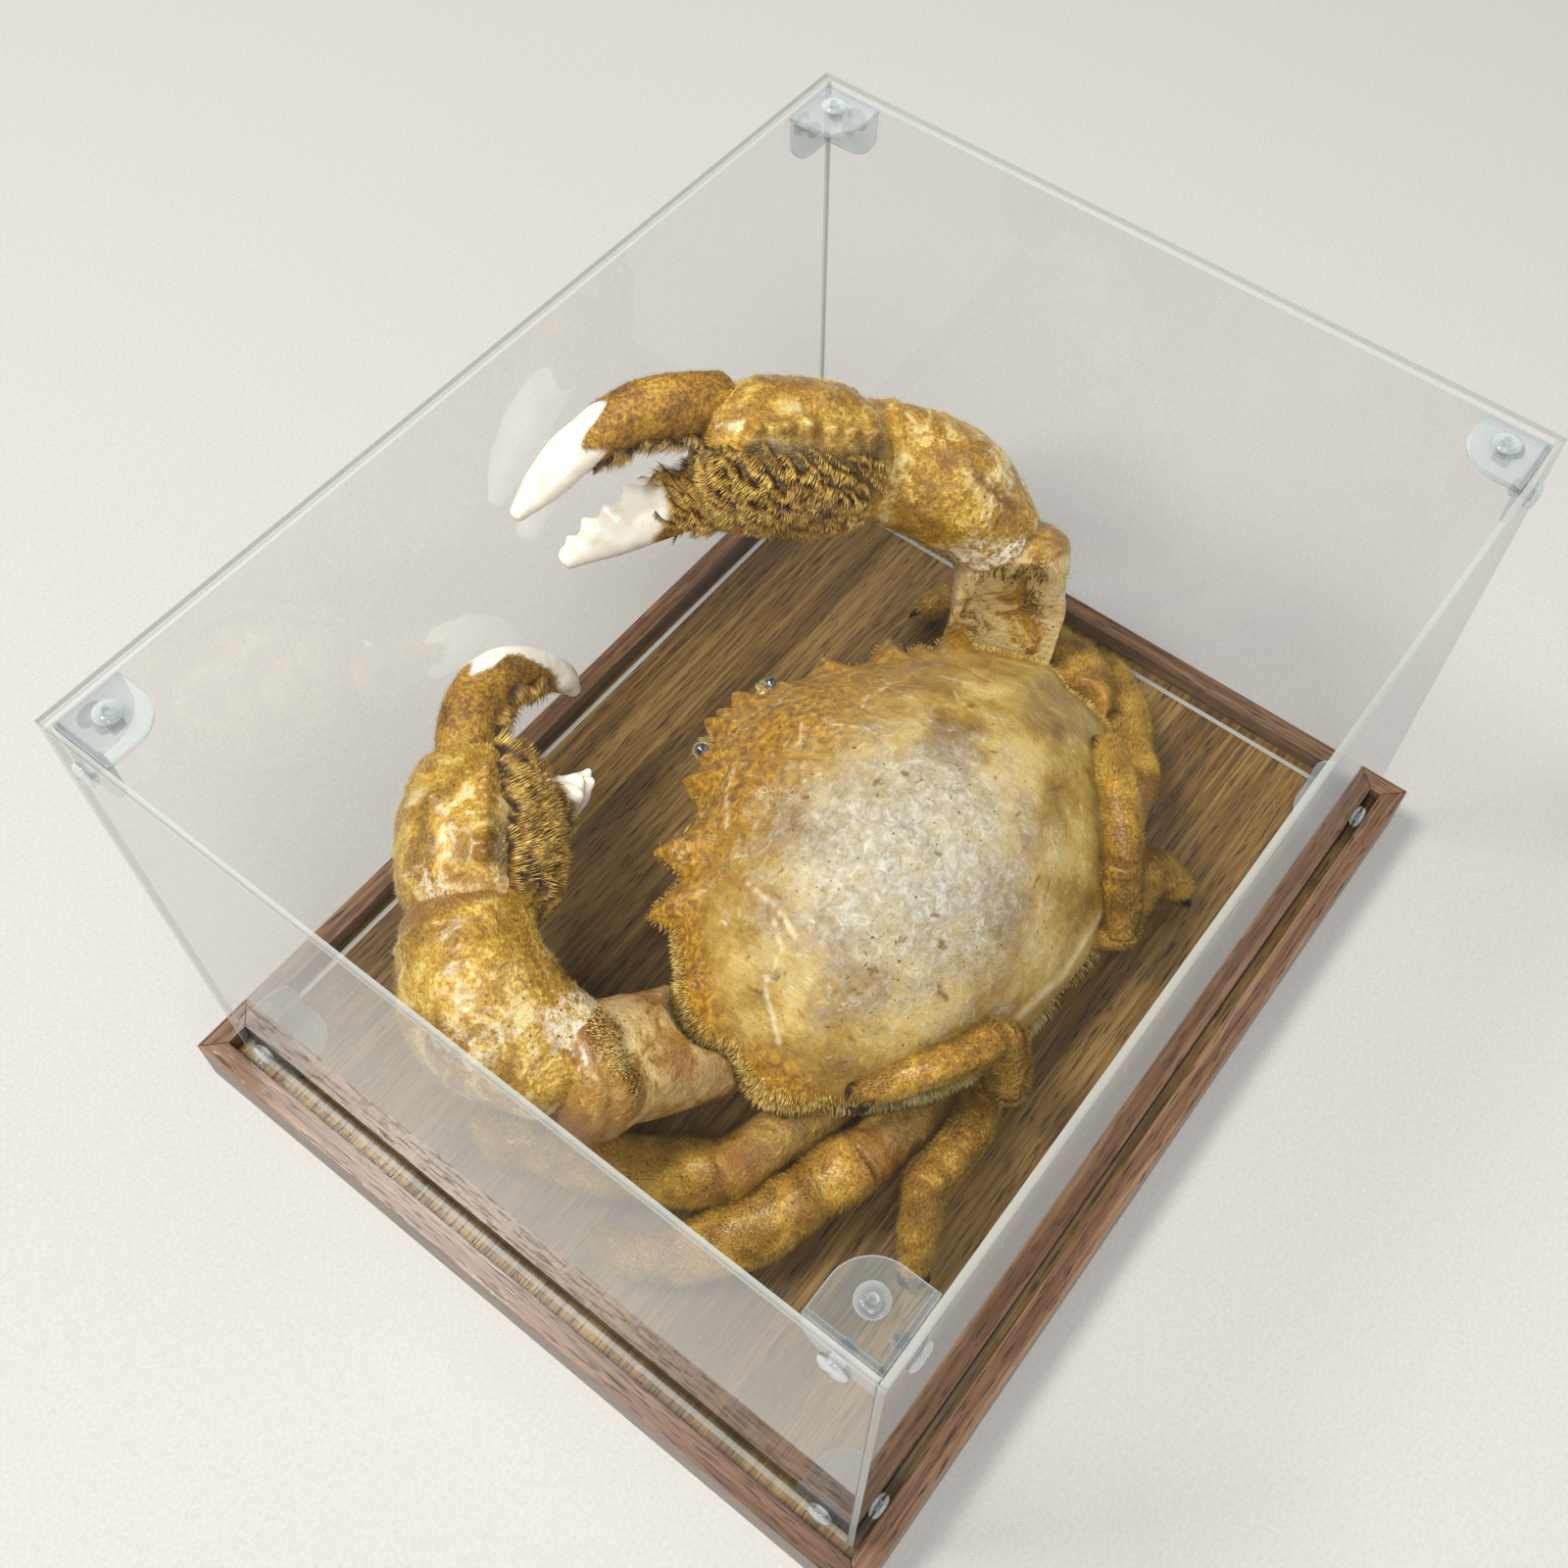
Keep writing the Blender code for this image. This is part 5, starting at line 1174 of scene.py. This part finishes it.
# Joints, cross-sections, wear and hair of each claw; turns round a segment are in degrees.
CLAWS = {
    "right": {
        "bloom": 0.95, "locks": (3.4, 4.8), "tan": 0.1, "bare": 1.5,
        "arm": [(-52, 9, 17), (-93, -11, 62), (-75.6, -47.1, 90), (-45, -72, 101.5)],
        "merus": ([15, 31, 29.5], [14, 26, 24]), "merus_bow": (-4, 1.5, -3),
        "carpus": ([22, 34, 30], [22, 33, 28]), "carpus_bow": (-3.5, -1, 4.5), "palm_bow": (0, 2.5, 3.0),
        "moving": [(-50, -76.5, 113.5), (-40, -79.8, 118), (-29, -85.8, 120.3), (-14, -90.6, 118),
                   (-3, -93, 112.5), (3.9, -94.8, 108.3)],
        "fixed": [(-50, -63, 95), (-36, -73.5, 92.5), (-20, -84.5, 87), (-6.5, -91.5, 83.5)],
        "hair": (133, 268), "thumb_hair": (195, 290), "ridge": 117,
        "white": (10, 0.06),
    },
    "left": {
        "bloom": 0.85, "locks": (4.6, 6.6), "tan": 0.5, "bare": 1.05,
        "arm": [(34, 11.5, 17), (87, -7.5, 50), (81, -47, 64), (52, -72, 64)],
        "merus": ([15, 28, 33], [14, 26, 28]), "merus_bow": (-0.5, 3.0, 2),
        "carpus": ([27, 38, 30], [24, 34, 28]), "carpus_bow": (8, -3, 2.5), "palm_bow": (0, 0, 0),
        "moving": [(47, -81, 65.5), (37.5, -87, 67.5), (25, -90.5, 66), (14.5, -90, 58), (6.5, -88, 48),
                   (3.8, -87, 40.5)],
        "fixed": [(55, -66, 55), (43, -65, 47.5), (31, -65.5, 40), (22, -67.5, 34.5)],
        "hair": (-78, 58), "thumb_hair": (-85, 20), "ridge": 74,
        "white": (138, 0.24),
    },
}
# The fixed finger's length and the arc of one degree round it, and a worn line on the right wrist.
FINGER_LENGTH = 56
FINGER_ARC = 0.11
SCAR = [(-80.7, -28.4, 98.7), (-86.1, -19.9, 92.8), (-91.2, -10.3, 82.3)]
for side, claw in CLAWS.items():
    whole = "claw_" + side
    seed = 40 if side == "right" else 70
    arm = [np.array(p, float) for p in claw["arm"]]
    for n, part in enumerate(("merus", "carpus")):
        start, end = arm[n], arm[n + 1]
        span = end - start
        way = span / np.linalg.norm(span)
        widths, heights = claw[part]
        path = [start - way * 2.0, start + span * 0.5 + np.array(claw[part + "_bow"], float),
                end + way * widths[-1] * 0.12]
        chance = np.random.default_rng(seed + n)
        knobs = [tuple(chance.uniform(*span) for span in ((0.2, 0.9), (0, 360), (1.0, 2.2), (0.3, 0.9)))
                 for _ in range(26 if part == "carpus" else 8)]
        form, t, a = claw_form(path, (widths, heights), 108, 96, seed + n * 3, (1.5, widths[-1] * 0.2),
                               hinge_shape(1.2, 1.0), knobs)
        if part == "merus":
            form = pressed(form)
        wear = noise(form, 12, seed + 9)
        if part == "merus":
            bare = (claw["bare"] + 0.6 * wear) * smoothstep(0.02, 0.2, t) * smoothstep(1.04, 0.88, t)
            bare = bare * smoothstep(-1.1, -0.5, wear)
            dusk = claw["tan"] * (1 + 0.8 * noise(form, 9, seed + 7)) + 0.3 * smoothstep(0.9, 1.0, t)
            bloom = 0.4 * smoothstep(-0.4, 0.6, noise(form, 14, seed + 8))
            dress_claw(whole + "_merus", form, bare, dusk, bloom, 2600, seed + 20, whole + "_merus",
                       (0.6, 1.3))
            rim = smoothstep(0.86, 0.93, t) * smoothstep(1.0, 0.97, t)
            rim = rim * smoothstep(0.0, 0.4, noise(form, 6, seed))
            coat(whole + "_merus_fringe", form, rim, 1500, seed + 26, (1.6, 3.4), (0.22, 0.36),
                 bristle_mat, "golden_velvet", (0.75, 0.45))
        else:
            bare = np.clip(0.3 + wear * 0.45, 0, 1) * smoothstep(0.0, 0.15, t)
            dusk = np.clip(0.8 * smoothstep(0.07, 0.0, t) + 0.7 * smoothstep(0.955, 1.0, t), 0, 1)
            scar = stroke(form / MM - (0, 0, BOARD_TOP), SCAR, 2.0) * (side == "right")
            scar = scar * smoothstep(-0.7, 0.1, noise(form, 1.6, 90))
            form = form - outward(form) * scar[..., None] * 0.35 * MM
            bloom = claw["bloom"] * smoothstep(0.75, 0.2, t) * smoothstep(-0.5, 0.4, noise(form, 9, seed + 8))
            dress_claw(whole + "_carpus", form, bare * (1 - scar), np.clip(dusk + scar * 1.3, 0, 1),
                       bloom * (1 - scar), 6000, seed + 21, whole + "_carpus")

    wrist, knuckle = arm[2], arm[3]
    span = knuckle - wrist
    rise = np.array(claw["palm_bow"], float)
    path = [wrist - span * 0.1, wrist + span * 0.33 + rise, wrist + span * 0.72 + rise, knuckle + span * 0.06]
    knobs = ([(0.3 + 0.095 * k, claw["ridge"], 1.6, 3.3) for k in range(6)]
             + [(0.62, 112, 2.4, 1.9), (0.82, 126, 2.2, 1.7), (0.5, 84, 2.6, 1.4)])
    palm, t, a = claw_form(path, PALM_SIZES, 144, 120, seed + 12, (2.0, 4.0), hinge_shape(1.1, 0, 0.3), knobs)
    hair = turn_mask(a + 0.22 * noise(palm, 7, seed + 17), *claw["hair"]) * smoothstep(0.16, 0.3, t)
    wear = noise(palm, 10, seed + 19)
    bare = np.clip(0.12 + wear * 0.4 + smoothstep(0.14, 0.05, t) * 0.5, 0, 1) * (1 - hair)
    dusk = smoothstep(0.03, 0.0, t) * 0.8 + 0.25 * smoothstep(-0.1, 0.5, noise(palm, 14, seed + 18))
    dusk = np.clip(dusk, 0, 1)
    bloom = smoothstep(0.4, 0.15, t) * 0.75 * smoothstep(-0.3, 0.5, noise(palm, 8, seed + 8)) * (1 - hair)
    dress_claw(whole + "_palm", palm, bare, dusk, bloom, 8000, seed + 22, whole + "_palm",
               painted_shade_under_hair=hair)

    teeth = [(0.44 + 0.125 * k, 60 + 12 * (-1) ** k, 3.0 - 0.25 * k, 3.4 - 0.3 * k) for k in range(5)]
    fixed, ft, fa = tube(claw["fixed"], *FIXED_SIZES, 90, 110, caps=(1.0, 2.4))
    bite = np.zeros_like(ft)
    for at_t, at_angle, radius, height in teeth:
        turn_off = np.degrees(np.abs(wrapped(fa, math.radians(at_angle))))
        gap = np.hypot((ft - at_t) * FINGER_LENGTH, turn_off * FINGER_ARC)
        bite = bite + height * np.exp(-(gap / radius) ** 2)
    fixed = raised(fixed, bite + noise(fixed, 5, seed + 30) * 0.25)
    fixed_piece = piece_from(whole + "_fixed_finger", [fixed], ivory_mat)
    creep = noise(fixed, 7, seed + 31) * 0.16
    mark(fixed_piece, "cover", smoothstep(0.52, 0.44, ft + creep))

    thumb, tt, ta = tube(claw["moving"], *THUMB_SIZES, 88, 130, caps=(2.0, 2.2))
    thumb = raised(thumb, noise(thumb, 8, seed + 33) * 0.4 + noise(thumb, 3, seed + 34) * 0.12)
    thumb_piece = piece_from(whole + "_moving_finger", [thumb], ivory_mat,
                             whole + "_dactylus")
    outer, amount = claw["white"]
    creep = (noise(thumb, 8, seed + 35) * 0.05 + amount * np.cos(ta - math.radians(outer))
             + 0.05 * np.cos(4 * ta + 0.6) + noise(thumb, 3, seed + 36) * 0.02)
    cover = smoothstep(0.55, 0.52, tt + creep)
    mark(thumb_piece, "cover", cover)

    coat(whole + "_moving_down", thumb, cover, 2600, seed + 41, (0.7, 1.4), (0.16, 0.26), worn_mat,
         "golden_velvet", (0.5, 0.3), bends=0, marks={"dusk": np.full(thumb.shape[:2], 0.55)})

    end_face = smoothstep(0.95, 1.0, t) * turn_mask(a, *claw["hair"], 16)
    down = -1 if side == "right" else 1
    chance = np.random.default_rng(seed + 80)
    laid = [("palm", palm, (0.26, 1.0), claw["hair"], 116, 48, 1.05, claw["locks"]),
            ("moving", thumb, (0.1, 0.6), claw["thumb_hair"], 46, 60, 1.1, (3.4, 5.6))]
    for part, form, t_span, turns, girth, length, gap, lengths in laid:
        rows, sides, at_t = comb_rows(form, t_span, turns, girth, length, gap, chance)
        roots, outs, ways, patch = laid_at(form, rows, sides)
        sway = noise(roots, 13, seed + 61)[:, None] * 0.7 + 0.35 + 0.9 * smoothstep(0.6, 1.0, at_t)[:, None]
        lean = ways * sway + np.cross(ways, outs) * down
        lean = lean / np.linalg.norm(lean, axis=-1, keepdims=True)
        comb_of_hair("%s_%s_locks" % (whole, part), roots, outs, lean, patch,
                     chance.uniform(*lengths, len(roots)), chance)
    for part, form, mask, count in (("knuckle", palm, end_face, 80),
                                    ("fixed", fixed, smoothstep(0.5, 0.36, ft), 180)):
        roots, outs, ways, patch, i, k, chance = scatter(form, count, mask + 1e-9, seed + 60 + len(part))
        lean = ways + np.cross(ways, outs) * down * 0.6
        lean = lean / np.linalg.norm(lean, axis=-1, keepdims=True)
        comb_of_hair("%s_%s_locks" % (whole, part), roots, outs, lean, patch,
                     chance.uniform(2.8, 4.4, count), chance)

# The studio: a plain pale floor, soft light from above and in front, and the photo's camera.

# Matt paper whose faint mottle keeps the floor from looking empty.
paper = mottled("pale_paper_floor", 900.0, 3, [(0.3, "a3a29f"), (0.7, "acaba8")], Roughness=0.9)
corners = [(-4, -4, 0), (4, -4, 0), (4, 4, 0), (-4, 4, 0)]
floor = mesh_object("floor", corners, [(0, 1, 2, 3)], paper)


def soft_light(name, place, aim, size, watts, hex_colour):
    lamp = bpy.data.lights.new(name, "AREA")
    lamp.shape = "RECTANGLE"
    lamp.size, lamp.size_y = size
    lamp.energy = watts
    lamp.color = linear(hex_colour)[:3]
    thing = bpy.data.objects.new(name, lamp)
    thing.location = place
    thing.rotation_euler = (Vector(aim) - Vector(place)).to_track_quat("-Z", "Y").to_euler()
    bpy.context.scene.collection.objects.link(thing)


soft_light("key", (0.6, -0.75, 1.95), (0, 0, 0.05), (0.55, 0.55), 58, "fffcf6")
soft_light("second", (0.75, 0.45, 1.8), (0, 0, 0.05), (0.6, 0.6), 26, "fffdf9")
soft_light("fill", (-1.2, 0.9, 1.6), (0, 0, 0.05), (1.0, 1.0), 10, "f6f8ff")
soft_light("rim", (0.7, 1.4, 1.0), (0, 0, 0.08), (0.9, 0.7), 8, "fffcf6")
sky = bpy.data.worlds.new("studio")
sky.use_nodes = True
sky.node_tree.nodes["Background"].inputs["Color"].default_value = linear("e9ecef")
sky.node_tree.nodes["Background"].inputs["Strength"].default_value = 0.21
bpy.context.scene.world = sky
bpy.context.scene.view_settings.view_transform = "Standard"

camera_data = bpy.data.cameras.new("photo_camera")
camera_data.sensor_width = 36
camera_data.lens = 40.135
camera_data.shift_x = -0.01735
camera_data.shift_y = -0.02303
camera = bpy.data.objects.new("photo_camera", camera_data)
forward = Vector((-0.435956, -0.320083, -0.841124))
right = Vector((-0.608372, 0.793540, 0.013345))
turned = Matrix((right, -forward.cross(right), -forward)).transposed().to_4x4()
camera.matrix_world = Matrix.Translation((0.182563, 0.125617, 0.445726)) @ turned
bpy.context.scene.collection.objects.link(camera)
bpy.context.scene.camera = camera
